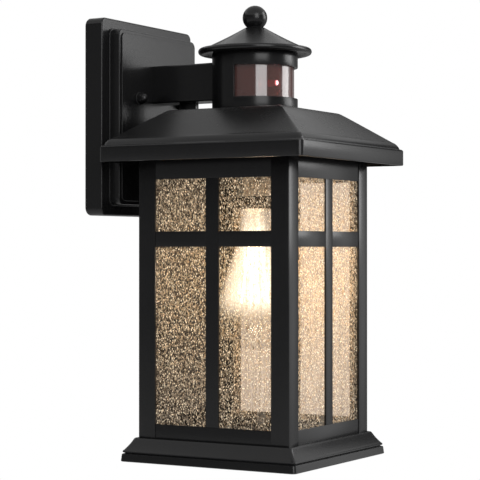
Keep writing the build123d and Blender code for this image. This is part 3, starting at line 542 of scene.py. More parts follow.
def statusFinish(look):
    # the dome's tip is hot and nearly white, the rest of the body a deep red
    low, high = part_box("status_led")
    material, tree, shader = newMaterial("statusRed")
    link = tree.links.new
    place = addNode(tree, "ShaderNodeTexCoord", -1100, 0)
    away = addNode(tree, "ShaderNodeVectorMath", -900, 0, {"operation": "DISTANCE"})
    away.inputs[1].default_value = ((low.x + high.x) / 2, low.y, (low.z + high.z) / 2)
    link(place.outputs["Object"], away.inputs[0])
    share = addMath(tree, "DIVIDE", -700, 0, away.outputs["Value"], look["reach"])
    tip = addRamp(tree, -520, 0, [(0.18, 1.0), (0.55, 0.0)])
    link(share, tip.inputs["Fac"])
    cloud = addNode(tree, "ShaderNodeTexNoise", -700, 260, Scale=500.0, Detail=2.0)
    link(place.outputs["Object"], cloud.inputs["Vector"])
    body = mixColours(tree, -300, 260, cloud.outputs["Fac"], look["body"], look["bodyHigh"])
    link(body, shader.inputs["Base Color"])
    tone = mixColours(tree, -120, 120, tip.outputs["Color"], look["glow"], look["tip"])
    link(tone, shader.inputs["Emission Color"])
    glow = addMath(tree, "MULTIPLY", -120, -120, tip.outputs["Color"], look["tipGlow"])
    link(addMath(tree, "ADD", 60, -120, glow, look["bodyGlow"]), shader.inputs["Emission Strength"])
    rough = addMath(tree, "MULTIPLY", -120, -300, cloud.outputs["Fac"], 0.06)
    link(addMath(tree, "ADD", 60, -300, rough, look["rough"]), shader.inputs["Roughness"])
    return material


statusRed = statusFinish(statusLook)
filamentGlow = glowingFinish("filamentGlow", (1.0, 0.78, 0.46), (1.0, 0.70, 0.36), 38.0, 0.5, scale=900.0)
bulbLook = {"glass": (0.05, 0.045, 0.04), "colour": (1.0, 0.93, 0.80), "rim": (1.0, 0.88, 0.70),
            "core": 2.6, "rest": 0.06, "veil": 0.07, "coreVeil": 0.60}


def bulbFinish(look):
    # clear glass that carries the filaments' glare: strongest at their height and where it faces the eye
    material, tree, shader = newMaterial("bulbGlass")
    link = tree.links.new
    place = addNode(tree, "ShaderNodeTexCoord", -1100, 0)
    split = addNode(tree, "ShaderNodeSeparateXYZ", -920, 0)
    link(place.outputs["Object"], split.inputs[0])
    share = addMath(tree, "SUBTRACT", -740, 0, split.outputs["Z"], bulbLow.z)
    share = addMath(tree, "DIVIDE", -580, 0, share, bulbHigh.z - bulbLow.z)
    height = addRamp(tree, -420, 0, [(0.16, 0.02), (0.40, 1.0), (0.74, 1.0), (0.98, 0.4)])
    link(share, height.inputs["Fac"])
    facing = addNode(tree, "ShaderNodeLayerWeight", -740, -260, Blend=0.5)
    centre = addMath(tree, "SUBTRACT", -560, -260, 1.0, facing.outputs["Facing"])
    centre = addMath(tree, "POWER", -400, -260, centre, 1.5)
    core = addMath(tree, "MULTIPLY", -120, -120, height.outputs["Color"], centre)
    haze = addNode(tree, "ShaderNodeTexNoise", -580, 300, Scale=120.0, Detail=2.0)
    link(place.outputs["Object"], haze.inputs["Vector"])
    tone = mixColours(tree, -120, 260, haze.outputs["Fac"], look["colour"], look["rim"])
    shader.inputs["Base Color"].default_value = (*look["glass"], 1.0)
    link(tone, shader.inputs["Emission Color"])
    glow = addMath(tree, "MULTIPLY", 60, -60, core, look["core"])
    link(addMath(tree, "ADD", 220, -60, glow, look["rest"]), shader.inputs["Emission Strength"])
    veil = addMath(tree, "MULTIPLY", 60, -240, core, look["coreVeil"])
    link(addMath(tree, "ADD", 220, -240, veil, look["veil"], clamp=True), shader.inputs["Alpha"])
    rough = addMath(tree, "MULTIPLY", 60, -400, haze.outputs["Fac"], 0.05)
    link(addMath(tree, "ADD", 220, -400, rough, 0.02), shader.inputs["Roughness"])
    return material


bulbGlass = bulbFinish(bulbLook)
# the glass stem glows: painted light standing in for the filaments' light on it
glowingStemGlass = glowingFinish("glowingStemGlass", (0.95, 0.86, 0.72), (0.9, 0.8, 0.64), 0.6, 0.06,
                          alpha=0.4, scale=260.0)
print("materials made")


def pointAround(radius, turn, height, cx=axisX, cy=axisY):
    return cx + radius * math.cos(turn), cy + radius * math.sin(turn), height


def markCorners(mesh):
    # each vertex learns how sharply its faces turn, for the rubbed-corner mask
    faceNormals = [face.normal.copy() for face in mesh.polygons]
    around = [[] for _ in mesh.vertices]
    for face in mesh.polygons:
        for index in face.vertices:
            around[index].append(faceNormals[face.index])
    values = []
    for normals in around:
        spread = 0.0
        for normal in normals[1:]:
            spread = max(spread, normals[0].angle(normal, 0.0))
        values.append(min(1.0, spread / 0.9))
    attribute = mesh.attributes.new("cornerRub", "FLOAT", "POINT")
    attribute.data.foreach_set("value", values)


def finishPiece(name, bm, material, body="lantern", replaced=(), smooth=35.0):
    bmesh.ops.remove_doubles(bm, verts=bm.verts, dist=1e-6)
    bmesh.ops.recalc_face_normals(bm, faces=bm.faces)
    mesh = bpy.data.meshes.new(name)
    bm.to_mesh(mesh)
    bm.free()
    markCorners(mesh)
    mesh.shade_smooth()
    mesh.set_sharp_from_angle(angle=math.radians(smooth))
    mesh.materials.append(material)
    piece = bpy.data.objects.new(name, mesh)
    scene.collection.objects.link(piece)
    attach(piece, body)
    if replaced:
        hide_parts(*replaced)
    return piece


def bridgeRings(bm, rings, closed=False):
    # rings are lists of vertices with equal counts, joined by quads
    pairs = list(zip(rings, rings[1:]))
    if closed:
        pairs.append((rings[-1], rings[0]))
    for lower, upper in pairs:
        count = len(lower)
        for i in range(count):
            j = (i + 1) % count
            corners = [lower[i], lower[j], upper[j], upper[i]]
            if len(set(corners)) == 4:
                bm.faces.new(corners)


def turnProfile(bm, profile, sides=64, centre=(None, None), closed=True):
    # profile is (radius, z) in metres, turned about an upright axis
    cx = axisX if centre[0] is None else centre[0]
    cy = axisY if centre[1] is None else centre[1]
    rings = []
    for radius, height in profile:
        turns = [2 * math.pi * i / sides for i in range(sides)]
        rings.append([bm.verts.new(pointAround(radius, turn, height, cx, cy)) for turn in turns])
    bridgeRings(bm, rings, closed)
    return rings


def capRing(bm, ring, flip=False):
    bm.faces.new(list(reversed(ring)) if flip else ring)


def wallwardRing(bm, cx, cz, radius, y, sides):
    # a round ring whose axis runs into the wall
    turns = [2 * math.pi * k / sides for k in range(sides)]
    return [bm.verts.new((cx + radius * math.cos(turn), y, cz + radius * math.sin(turn))) for turn in turns]


def skinSheet(bm, skins, columns, rows):
    # two grids of vertices become a closed sheet
    for grid in skins:
        for below, above in zip(grid, grid[1:]):
            for i in range(columns):
                bm.faces.new((below[i], below[i + 1], above[i + 1], above[i]))
    front, back = skins
    for k in range(rows):
        for i in (0, columns):
            bm.faces.new((front[k][i], front[k + 1][i], back[k + 1][i], back[k][i]))
    for i in range(columns):
        for k in (0, rows):
            bm.faces.new((front[k][i], front[k][i + 1], back[k][i + 1], back[k][i]))


def roundedSquare(half, corner, steps=5):
    # corner points of a rounded square, anticlockwise, about (0, 0)
    points = []
    corner = min(corner, half * 0.98)
    for quarter in range(4):
        middle = math.radians(45 + 90 * quarter)
        cx = math.copysign(half - corner, math.cos(middle))
        cy = math.copysign(half - corner, math.sin(middle))
        for i in range(steps + 1):
            turn = math.radians(90 * quarter + 90 * i / steps)
            points.append((cx + corner * math.cos(turn), cy + corner * math.sin(turn)))
    return points


def squareRing(bm, half, corner, height, steps=5):
    return [bm.verts.new((axisX + x, axisY + y, height)) for x, y in roundedSquare(half, corner, steps)]


def softenEdges(bm, width, segments=2, angle=30.0):
    bmesh.ops.remove_doubles(bm, verts=bm.verts, dist=1e-6)
    bmesh.ops.recalc_face_normals(bm, faces=bm.faces)
    sharp = [e for e in bm.edges if len(e.link_faces) == 2 and e.calc_face_angle(0.0) > math.radians(angle)]
    bmesh.ops.bevel(bm, geom=sharp, offset=width, offset_type="OFFSET", segments=segments,
                    profile=0.6, affect="EDGES", clamp_overlap=True)


def boxBetween(bm, low, high):
    low, high = Vector(low), Vector(high)
    corners = []
    for z in (low.z, high.z):
        for x, y in ((low.x, low.y), (high.x, low.y), (high.x, high.y), (low.x, high.y)):
            corners.append(bm.verts.new((x, y, z)))
    bm.faces.new(corners[3::-1])
    bm.faces.new(corners[4:])
    for i in range(4):
        j = (i + 1) % 4
        bm.faces.new((corners[i], corners[j], corners[4 + j], corners[4 + i]))
    return corners


def quarterTurn(bm, vertices, quarter):
    # turn what was made for the front side round the lantern's axis
    spin = Matrix.Rotation(math.radians(90 * quarter), 3, "Z")
    bmesh.ops.rotate(bm, verts=vertices, cent=(axisX, axisY, 0), matrix=spin)


def arcPoints(cx, cz, radius, start, end, steps):
    points = []
    for i in range(steps + 1):
        turn = math.radians(start + (end - start) * i / steps)
        points.append((cx + radius * math.cos(turn), cz + radius * math.sin(turn)))
    return points


def threadProfile(phase):
    # rounded rolled thread: 0 in the groove, 1 on the crest
    return 0.5 - 0.5 * math.cos(2 * math.pi * phase)


def threadSleeve(bm, radius, depth, pitch, low, high, sides=48, rows=8, centre=(None, None), axis="Z"):
    # a sleeve whose skin follows a helix between two heights, fading out at both ends
    cx = axisX if centre[0] is None else centre[0]
    cy = axisY if centre[1] is None else centre[1]
    count = max(4, int((high - low) / pitch * rows))
    rings = []
    for k in range(count + 1):
        along = low + (high - low) * k / count
        fade = min(1.0, (along - low) / (pitch * 0.6), (high - along) / (pitch * 0.6))
        ring = []
        for i in range(sides):
            turn = 2 * math.pi * i / sides
            lift = depth * threadProfile(along / pitch - i / sides) * max(0.0, fade)
            r = radius - depth + lift
            if axis == "Z":
                ring.append(bm.verts.new((cx + r * math.cos(turn), cy + r * math.sin(turn), along)))
            else:
                ring.append(bm.verts.new((cx + r * math.cos(turn), along, cy + r * math.sin(turn))))
        rings.append(ring)
    bridgeRings(bm, rings)
    return rings


roofLook = {
    "skin": 0.0020, "hipRound": 0.0018, "eaveRound": 0.0048, "lipRound": 0.0007,
    "flat": 0.0515, "breakHalf": 0.0856, "breakZ": -0.0364, "ease": 0.0012, "steps": 8,
    "fasciaTopZ": -0.0437, "innerTopZ": -0.0450, "bossAt": 0.052,
    "boss": [(0.0040, -0.0195), (0.0040, -0.0462), (0.0037, -0.0465), (0.0018, -0.0465), (0.0018, -0.040)],
    # half width and height of the rounded shoulder and the ledge under it
    "shoulder": [(0.0866, -0.0369), (0.0872, -0.0375), (0.0880, -0.0384), (0.0886, -0.0393),
                 (0.0891, -0.0401), (0.0894, -0.0409), (0.0896, -0.0415), (0.0898, -0.04175),
                 (0.0904, -0.0418), (0.0910, -0.0420), (0.0916, -0.0424), (0.0919, -0.0430)]}


def makeRoof():
    low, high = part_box("roof")
    top, bottom = high.z, low.z
    eave = (high.x - low.x) / 2
    flat, breakHalf, breakZ = roofLook["flat"], roofLook["breakHalf"], roofLook["breakZ"]
    ease = roofLook["ease"]
    reach = breakHalf - ease - flat
    slope = (top - breakZ) / (breakHalf - flat)
    bm = bmesh.new()
    outline = [(flat - 0.0018, top), (flat - 0.0006, top - 0.00012), (flat + 0.0006, top - slope * 0.0009)]
    for i in range(1, roofLook["steps"]):
        part = i / roofLook["steps"]
        outline.append((flat + reach * part, top - slope * reach * part))
    outline.append((breakHalf - ease, breakZ + slope * ease))
    outline.append((breakHalf + 0.0001, breakZ - 0.00008))
    outline += roofLook["shoulder"]
    outline.append((eave, roofLook["fasciaTopZ"]))
    lip = roofLook["lipRound"]
    outline += [(eave, bottom + lip), (eave - lip * 0.3, bottom + lip * 0.3), (eave - lip, bottom)]
    skin = roofLook["skin"]
    inner = [(eave - skin, bottom), (eave - skin, roofLook["innerTopZ"]),
             (breakHalf - skin * 0.6, breakZ - skin), (flat - skin * 0.5, top - skin)]
    rings = []
    for half, height in outline + inner:
        ratio = min(1.0, max(0.0, (half - flat) / (eave - flat))) ** 1.5
        corner = roofLook["hipRound"] + (roofLook["eaveRound"] - roofLook["hipRound"]) * ratio
        rings.append(squareRing(bm, half, corner, height, steps=6))
    bridgeRings(bm, rings)
    capRing(bm, rings[0], flip=True)
    capRing(bm, rings[-1])
    # the four posts for the cage screws, under the slope
    for sx in (-1, 1):
        for sy in (-1, 1):
            where = (axisX + sx * roofLook["bossAt"], axisY + sy * roofLook["bossAt"])
            boss = turnProfile(bm, roofLook["boss"], sides=20, centre=where, closed=False)
            capRing(bm, boss[-1])
            capRing(bm, boss[0], flip=True)
    return finishPiece("roofPan", bm, powderBlack, replaced=["roof"], smooth=24.0)


turretLook = {"sides": 144, "wall": 0.0028, "edge": 0.0004, "windowLow": -0.0025, "windowHigh": 0.0228,
              "flangeBore": 0.022, "flangeHeight": 0.002,
              "lugNear": 0.0262, "lugFar": 0.0326, "lugHalf": 0.005}


def makeTurret():
    low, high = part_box("turret_housing")
    outer = (high.x - low.x) / 2
    inner = outer - turretLook["wall"]
    sides = turretLook["sides"]
    heights = [low.z, turretLook["windowLow"], turretLook["windowHigh"], high.z]
    bm = bmesh.new()
    skins = []
    for radius in (outer, inner):
        rows = []
        for height in heights:
            turns = [2 * math.pi * i / sides for i in range(sides)]
            rows.append([bm.verts.new(pointAround(radius, turn, height)) for turn in turns])
        skins.append(rows)
    outside, inside = skins
    half = sides // 2

    def isOpen(band, i):
        return band == 1 and i >= half      # the front half turn, towards -Y

    for band in range(3):
        for i in range(sides):
            j = (i + 1) % sides
            if isOpen(band, i):
                continue
            bm.faces.new((outside[band][i], outside[band][j], outside[band + 1][j], outside[band + 1][i]))
            bm.faces.new((inside[band][j], inside[band][i], inside[band + 1][i], inside[band + 1][j]))
    for i in range(sides):
        j = (i + 1) % sides
        bm.faces.new((outside[3][i], outside[3][j], inside[3][j], inside[3][i]))
        bm.faces.new((outside[0][j], outside[0][i], inside[0][i], inside[0][j]))
        if i >= half:
            bm.faces.new((outside[1][i], outside[1][j], inside[1][j], inside[1][i]))
            bm.faces.new((outside[2][j], outside[2][i], inside[2][i], inside[2][j]))
    for i in (0, half):
        bm.faces.new((outside[1][i], inside[1][i], inside[2][i], outside[2][i]))
    softenEdges(bm, turretLook["edge"], 2, 40.0)
    # inner flange that the roof screws pull on, and the two lugs under the cap bridge
    base, flange = low.z, low.z + turretLook["flangeHeight"]
    ring, bore = inner - 0.00002, turretLook["flangeBore"]
    turnProfile(bm, [(ring, base), (bore, base), (bore, flange), (ring, flange)], sides=72)
    lugHalf = turretLook["lugHalf"]
    for side in (-1, 1):
        edge = sorted((axisX + side * turretLook["lugNear"], axisX + side * turretLook["lugFar"]))
        boxBetween(bm, (edge[0], axisY - lugHalf, high.z - 0.006), (edge[1], axisY + lugHalf, high.z - 0.002))
    return finishPiece("turretShell", bm, powderBlack, replaced=["turret_housing"],
                       smooth=28.0)


# the window turns a little past half way; its inner face carries moulded grooves
windowLook = {"wall": 0.0016, "start": 174.6, "end": 365.4, "steps": 120, "rows": 90, "groove": 0.00022}


def makeLens():
    low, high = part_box("sensor_lens")
    outer = (high.x - low.x) / 2
    inner = outer - windowLook["wall"]
    bm = bmesh.new()
    start, end = math.radians(windowLook["start"]), math.radians(windowLook["end"])
    steps, rows = windowLook["steps"], windowLook["rows"]
    outside, inside = [], []
    for k in range(rows + 1):
        height = low.z + (high.z - low.z) * k / rows
        groove = windowLook["groove"] * (k % 3 == 1)
        outside.append([])
        inside.append([])
        for i in range(steps + 1):
            turn = start + (end - start) * i / steps
            if k in (0, rows) or k % 10 == 0:
                outside[-1].append(bm.verts.new(pointAround(outer, turn, height)))
            inside[-1].append(bm.verts.new(pointAround(inner + groove, turn, height)))
    outside = [row for row in outside if row]
    for rowsOfSkin, flip in ((outside, False), (inside, True)):
        for below, above in zip(rowsOfSkin, rowsOfSkin[1:]):
            for i in range(steps):
                corners = [below[i], below[i + 1], above[i + 1], above[i]]
                bm.faces.new(corners[::-1] if flip else corners)
    for k in (0, -1):
        for i in range(steps):
            bm.faces.new((outside[k][i], outside[k][i + 1], inside[k][i + 1], inside[k][i]))
    for i in (0, -1):
        bm.faces.new([row[i] for row in outside] + [row[i] for row in reversed(inside)])
    return finishPiece("sensorWindow", bm, smokedLens, replaced=["sensor_lens"], smooth=40.0)


capLook = {"skin": 0.0020, "flare": 0.0016, "sides": 144, "bead": 0.0026, "beadZ": 0.0362,
           "topRadius": 0.008, "bore": 0.0023}


def makeCap():
    low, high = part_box("turret_cap")
    bead, bore = capLook["bead"], capLook["bore"]
    rim = (high.x - low.x) / 2
    beadR, beadZ = rim - bead, capLook["beadZ"]
    topR, topZ = capLook["topRadius"], high.z
    bm = bmesh.new()
    outline = [(bore, topZ), (topR - 0.0008, topZ), (topR + 0.0001, topZ - 0.0002)]
    joinR, joinZ = beadR - 0.0013, beadZ + bead * 0.86
    for i in range(1, 13):
        part = i / 12
        sag = capLook["flare"] * math.sin(math.pi * part) * 0.35
        outline.append((topR + (joinR - topR) * part, topZ - 0.0002 + (joinZ - topZ) * part - sag))
    outline += arcPoints(beadR, beadZ, bead, 108, -150, 22)
    skin = capLook["skin"]
    outline += [(beadR - 0.0042, beadZ + 0.0006), (0.0346, 0.0392), (0.0344, 0.0352), (0.0342, 0.035),
                (0.0325, 0.035), (0.0324, 0.0401), (topR, topZ - skin - 0.0006), (bore, topZ - skin - 0.0006)]
    turnProfile(bm, outline, sides=capLook["sides"])
    return finishPiece("turretHat", bm, powderBlack, replaced=["turret_cap"], smooth=32.0)


finialLook = {"seat": 0.056, "neck": 0.0066, "sides": 96}


def makeFinial():
    low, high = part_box("finial")
    radius = (high.x - low.x) / 2
    centreZ = high.z - radius
    seat, neck, sides = finialLook["seat"], finialLook["neck"], finialLook["sides"]
    bm = bmesh.new()
    neckAngle = -math.degrees(math.acos(neck / radius))
    outline = arcPoints(0.0, centreZ, radius, 87, neckAngle + 2, 30)
    outline += [(neck, seat + 0.0011), (0.0065, seat + 0.0006), (0.0069, seat), (0.0020, seat)]
    rings = turnProfile(bm, outline, sides=sides, closed=False)
    tip = bm.verts.new((axisX, axisY, high.z))
    for i in range(sides):
        bm.faces.new((rings[0][i], rings[0][(i + 1) % sides], tip))
    stud = threadSleeve(bm, 0.0020, 0.00022, 0.0007, low.z, seat - 0.0004, sides=20, rows=4)
    capRing(bm, stud[0], flip=True)
    bridgeRings(bm, [stud[-1], turnProfile(bm, [(0.0019, seat)], sides=20, closed=False)[0]])
    return finishPiece("finialBall", bm, powderBlack, body="finial_ball",
                       replaced=["finial"], smooth=40.0)


cageLook = {"leg": 0.0157, "sheet": 0.0020, "outerRound": 0.0009, "innerRound": 0.0003, "barRound": 0.00028,
            "barSetback": 0.0004, "barWidth": 0.0117, "barLow": -0.1229, "barHigh": -0.1106}


def makePost(name, node, quarter):
    low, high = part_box(node)
    leg, sheet = cageLook["leg"], cageLook["sheet"]
    x0, y0 = axisX - cageHalf, axisY - cageHalf
    bm = bmesh.new()
    outline = []
    for i in range(5):
        turn = math.radians(180 + 90 * i / 4)
        r = cageLook["outerRound"]
        outline.append((x0 + r + r * math.cos(turn), y0 + r + r * math.sin(turn)))
    outline += [(x0 + leg, y0), (x0 + leg, y0 + sheet), (x0 + sheet, y0 + sheet),
                (x0 + sheet, y0 + leg), (x0, y0 + leg)]
    rings = [[bm.verts.new((x, y, z)) for x, y in outline] for z in (low.z, high.z)]
    bridgeRings(bm, rings)
    capRing(bm, rings[0], flip=True)
    capRing(bm, rings[1])
    softenEdges(bm, cageLook["innerRound"], 2, 60.0)
    quarterTurn(bm, bm.verts[:], quarter)
    return finishPiece(name, bm, powderBlack, replaced=[node], smooth=40.0)


def makeBars(name, nodes, parts, quarters):
    # parts are (x0, x1, z0, z1) on the front side, in metres from the axis
    setback, sheet = cageLook["barSetback"], cageLook["sheet"]
    bm = bmesh.new()
    y0 = axisY - cageHalf + setback
    for quarter in quarters:
        for x0, x1, z0, z1 in parts:
            one = bmesh.new()
            boxBetween(one, (axisX + x0, y0, z0), (axisX + x1, y0 + sheet - setback, z1))
            softenEdges(one, cageLook["barRound"], 2, 30.0)
            quarterTurn(one, one.verts[:], quarter)
            copyInto(bm, one)
    return finishPiece(name, bm, powderBlack, replaced=nodes, smooth=50.0)


def copyInto(bm, one):
    carrier = bpy.data.meshes.new("carrier")
    one.to_mesh(carrier)
    one.free()
    bm.from_mesh(carrier)
    bpy.data.meshes.remove(carrier)


def makeCage():
    posts = (("postFrontLeft", "post_front_left"), ("postFrontRight", "post_front_right"),
             ("postBackRight", "post_back_right"), ("postBackLeft", "post_back_left"))
    for quarter, (name, node) in enumerate(posts):
        makePost(name, node, quarter)
    inner = cageHalf - cageLook["leg"]
    railLow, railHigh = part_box("top_rails")
    makeBars("topRails", ["top_rails"], [(-inner, inner, railLow.z, railHigh.z)], range(4))
    footLow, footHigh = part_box("bottom_rails")
    makeBars("bottomRails", ["bottom_rails"], [(-inner, inner, footLow.z, footHigh.z)], range(4))
    half = cageLook["barWidth"] / 2
    barLow, barHigh = cageLook["barLow"], cageLook["barHigh"]
    parts = [(-half, half, footHigh.z, railLow.z), (-inner, -half, barLow, barHigh),
             (half, inner, barLow, barHigh)]
    for name, node, quarter in (("frontBars", "glazing_bars_front", 0),
                                ("rightBars", "glazing_bars_right", 1),
                                ("leftBars", "glazing_bars_left", -1)):
        makeBars(name, [node], parts, [quarter])


backLook = {"bead": 0.0010, "beadIn": 0.010, "beadWidth": 0.0022, "columns": 56, "rows": 96}


def makeBackPanel():
    # pressed sheet with a shallow bead round its edge
    low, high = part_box("back_panel")
    bm = bmesh.new()
    columns, rows = backLook["columns"], backLook["rows"]
    skins = []
    for depth in (0.0, 1.0):
        grid = []
        for k in range(rows + 1):
            z = low.z + (high.z - low.z) * k / rows
            line = []
            for i in range(columns + 1):
                x = low.x + (high.x - low.x) * i / columns
                rim = min(x - low.x, high.x - x, z - low.z, high.z - z)
                share = (rim - backLook["beadIn"]) / backLook["beadWidth"]
                rise = backLook["bead"] * math.exp(-share ** 2)
                y = low.y + (high.y - low.y) * depth
                line.append(bm.verts.new((x, y - rise, z)))
            grid.append(line)
        skins.append(grid)
    skinSheet(bm, skins, columns, rows)
    return finishPiece("backSheet", bm, powderBlack, replaced=["back_panel"], smooth=40.0)


paneLook = {"wave": 0.00016, "columns": 44, "rows": 78, "margin": 0.006, "seeds": 150,
            "seedSize": 0.00055, "randomSeed": 11}


def makePane(name, node, quarter):
    # hand-rolled look: both faces ripple a little, and real bubbles stand in the sheet
    low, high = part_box("glass_front")
    dice = random.Random(paneLook["randomSeed"] + quarter)
    columns, rows = paneLook["columns"], paneLook["rows"]
    margin = paneLook["margin"]
    bm = bmesh.new()
    skins = []
    for face, y in ((0, low.y), (1, high.y)):
        grid = []
        for k in range(rows + 1):
            z = low.z + (high.z - low.z) * k / rows
            line = []
            for i in range(columns + 1):
                x = low.x + (high.x - low.x) * i / columns
                rim = min(x - low.x, high.x - x, z - low.z, high.z - z)
                calm = min(1.0, max(0.0, rim / margin))
                ripple = noise.noise(Vector((x * 60 + 9 * quarter, z * 22, 3.0 + 5 * face)))
                ripple += 0.5 * noise.noise(Vector((x * 150, z * 70 + 4 * quarter, 8.0 + 5 * face)))
                inward = 1 if face == 0 else -1
                shift = inward * paneLook["wave"] * calm * (0.75 + 0.5 * ripple)
                line.append(bm.verts.new((x, y + shift, z)))
            grid.append(line)
        skins.append(grid)
    skinSheet(bm, skins, columns, rows)
    bmesh.ops.recalc_face_normals(bm, faces=bm.faces)
    for _ in range(paneLook["seeds"]):
        x = dice.uniform(low.x + margin, high.x - margin)
        z = dice.uniform(low.z + margin, high.z - margin)
        size = paneLook["seedSize"] * dice.uniform(0.5, 1.3)
        long = dice.uniform(1.4, 3.2)
        lean = Matrix.Rotation(dice.uniform(-0.5, 0.5), 4, "Y")
        spot = Matrix.Translation((x, (low.y + high.y) / 2, z)) @ lean
        spot = spot @ Matrix.Diagonal((size, size * 0.8, size * long, 1.0))
        bmesh.ops.create_icosphere(bm, subdivisions=1, radius=1.0, matrix=spot)
    quarterTurn(bm, bm.verts[:], quarter)
    mesh = bpy.data.meshes.new(name)
    bm.to_mesh(mesh)
    bm.free()
    mesh.shade_smooth()
    mesh.set_sharp_from_angle(angle=math.radians(40))
    mesh.materials.append(seededGlass)
    piece = bpy.data.objects.new(name, mesh)
    scene.collection.objects.link(piece)
    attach(piece, "lantern")
    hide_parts(node)
    return piece


baseLook = {"corner": 0.0030, "innerCorner": 0.0012, "outerFrom": 0.0695,
            "well": 0.0690, "opening": 0.0600, "plate": 0.0020}


def makeBase():
    low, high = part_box("base_tray")
    top, bottom = high.z, low.z
    bm = bmesh.new()
    outline = [(0.0604, top), (0.0706, top), (0.0714, top - 0.0002), (0.0719, top - 0.0008)]
    for i in range(1, 10):          # the slope is very slightly hollow
        part = i / 10
        hollow = 0.00035 * math.sin(math.pi * part)
        outline.append((0.0719 + 0.0056 * part - hollow, top - 0.0008 - 0.0085 * part))
    well, opening, shelf = baseLook["well"], baseLook["opening"], top - baseLook["plate"]
    outline += [(0.0776, top - 0.0094), (0.0782, top - 0.0099), (0.0785, top - 0.0104),
                (0.0785, top - 0.0111), (0.0782, top - 0.0114), (0.0774, top - 0.0116),
                (0.0772, top - 0.0120), (0.0775, top - 0.0124), (0.0785, top - 0.0125),
                (0.0789, top - 0.0128), (0.0790, top - 0.0133), (0.0794, bottom + 0.0013),
                (0.0795, bottom + 0.0006), (0.0793, bottom + 0.0002), (0.0789, bottom),
                (well + 0.0005, bottom), (well, bottom + 0.0005), (well, shelf), (opening + 0.0004, shelf),
                (opening, shelf + 0.0004), (opening, top - 0.0004)]
    rings = []
    for half, height in outline:
        corner = baseLook["corner"] if half > baseLook["outerFrom"] else baseLook["innerCorner"]
        rings.append(squareRing(bm, half, corner, height, steps=6))
    bridgeRings(bm, rings, closed=True)
    return finishPiece("baseMoulding", bm, powderBlack, replaced=["base_tray"], smooth=24.0)


lugLook = {"fall": 0.0238, "run": 0.0341, "round": 0.0005}      # its foot follows the roof slope


def makeLug():
    low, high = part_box("arm_lug")
    bm = bmesh.new()
    slope = lugLook["fall"] / lugLook["run"]
    nearFoot = low.z + slope * (high.y - low.y)
    side = [(low.y, high.z), (high.y, high.z), (high.y, low.z), (low.y, nearFoot)]
    rings = [[bm.verts.new((x, y, z)) for y, z in side] for x in (low.x, high.x)]
    bridgeRings(bm, rings)
    capRing(bm, rings[0], flip=True)
    capRing(bm, rings[1])
    softenEdges(bm, lugLook["round"], 2, 30.0)
    return finishPiece("armLug", bm, powderBlack, replaced=["arm_lug"], smooth=40.0)


nutLook = {"across": 0.0048, "hexDepth": 0.0034, "dome": 0.0042, "sides": 48}


def makeCapNut(name, node, body):
    # hexagon with turned chamfers and a domed end, pointing away from the wall
    low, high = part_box(node)
    cx, cz = (low.x + high.x) / 2, (low.z + high.z) / 2
    base, front = high.y, low.y
    bm = bmesh.new()
    rings = []
    hexEnd = base - nutLook["hexDepth"]
    sides = nutLook["sides"]
    cut = [(0.92, base), (1.0, base - 0.0004), (1.0, hexEnd + 0.0005), (0.90, hexEnd)]
    for share, y in cut:
        ring = []
        for i in range(sides):
            turn = 2 * math.pi * i / sides
            toFlat = (turn + math.pi / 6) % (math.pi / 3) - math.pi / 6
            hexRadius = nutLook["across"] * math.cos(math.pi / 6) / math.cos(toFlat)
            radius = min(hexRadius, nutLook["across"] * share)
            ring.append(bm.verts.new((cx + radius * math.cos(turn), y, cz + radius * math.sin(turn))))
        rings.append(ring)
    for i in range(9):
        turn = math.radians(88 * i / 8)
        radius = nutLook["dome"] * math.cos(turn) * 0.985
        y = hexEnd + 0.0002 - (hexEnd + 0.0002 - front) * math.sin(turn)
        rings.append(wallwardRing(bm, cx, cz, radius, y, sides))
    bridgeRings(bm, rings)
    capRing(bm, rings[0], flip=True)
    capRing(bm, rings[-1])
    return finishPiece(name, bm, powderBlack, body=body, replaced=[node], smooth=32.0)


washerLook = {"bore": 0.0023, "rim": 0.0054, "sides": 40}


def makeWashers():
    low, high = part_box("nut_washers")
    reach = (high.x - low.x) / 2
    bore, rim = washerLook["bore"], washerLook["rim"]
    outline = [(bore, high.y), (0.0052, high.y), (rim, high.y - 0.0002), (rim, low.y + 0.0002),
               (0.0052, low.y), (0.0026, low.y), (bore, low.y + 0.0002)]
    bm = bmesh.new()
    for side in (-1, 1):
        cx = side * (reach - rim)
        rings = [wallwardRing(bm, cx, 0.0, radius, y, washerLook["sides"]) for radius, y in outline]
        bridgeRings(bm, rings, closed=True)
    return finishPiece("nutWashers", bm, washerRubber, replaced=["nut_washers"],
                       smooth=40.0)


studLook = {"radius": 0.0020, "depth": 0.00025, "pitch": 0.0008}


def makeStuds():
    # the two long threaded studs that carry the lantern
    low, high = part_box("mounting_studs")
    radius, depth, pitch = studLook["radius"], studLook["depth"], studLook["pitch"]
    reach = (high.x - low.x) / 2 - radius
    bm = bmesh.new()
    for side in (-1, 1):
        rings = threadSleeve(bm, radius, depth, pitch, low.y, high.y, sides=20, rows=4,
                             centre=(side * reach, 0.0), axis="Y")
        capRing(bm, rings[0], flip=True)
        capRing(bm, rings[-1])
    return finishPiece("mountingStuds", bm, zincSteel, replaced=["mounting_studs"],
                       smooth=50.0)


holderLook = {"sides": 96, "beads": (-0.0705, -0.0735, -0.0765), "bore": 0.00492, "collarBore": 0.0141,
              "sleeveRadius": 0.01385, "sleeveDepth": 0.00042, "sleevePitch": 0.00363}


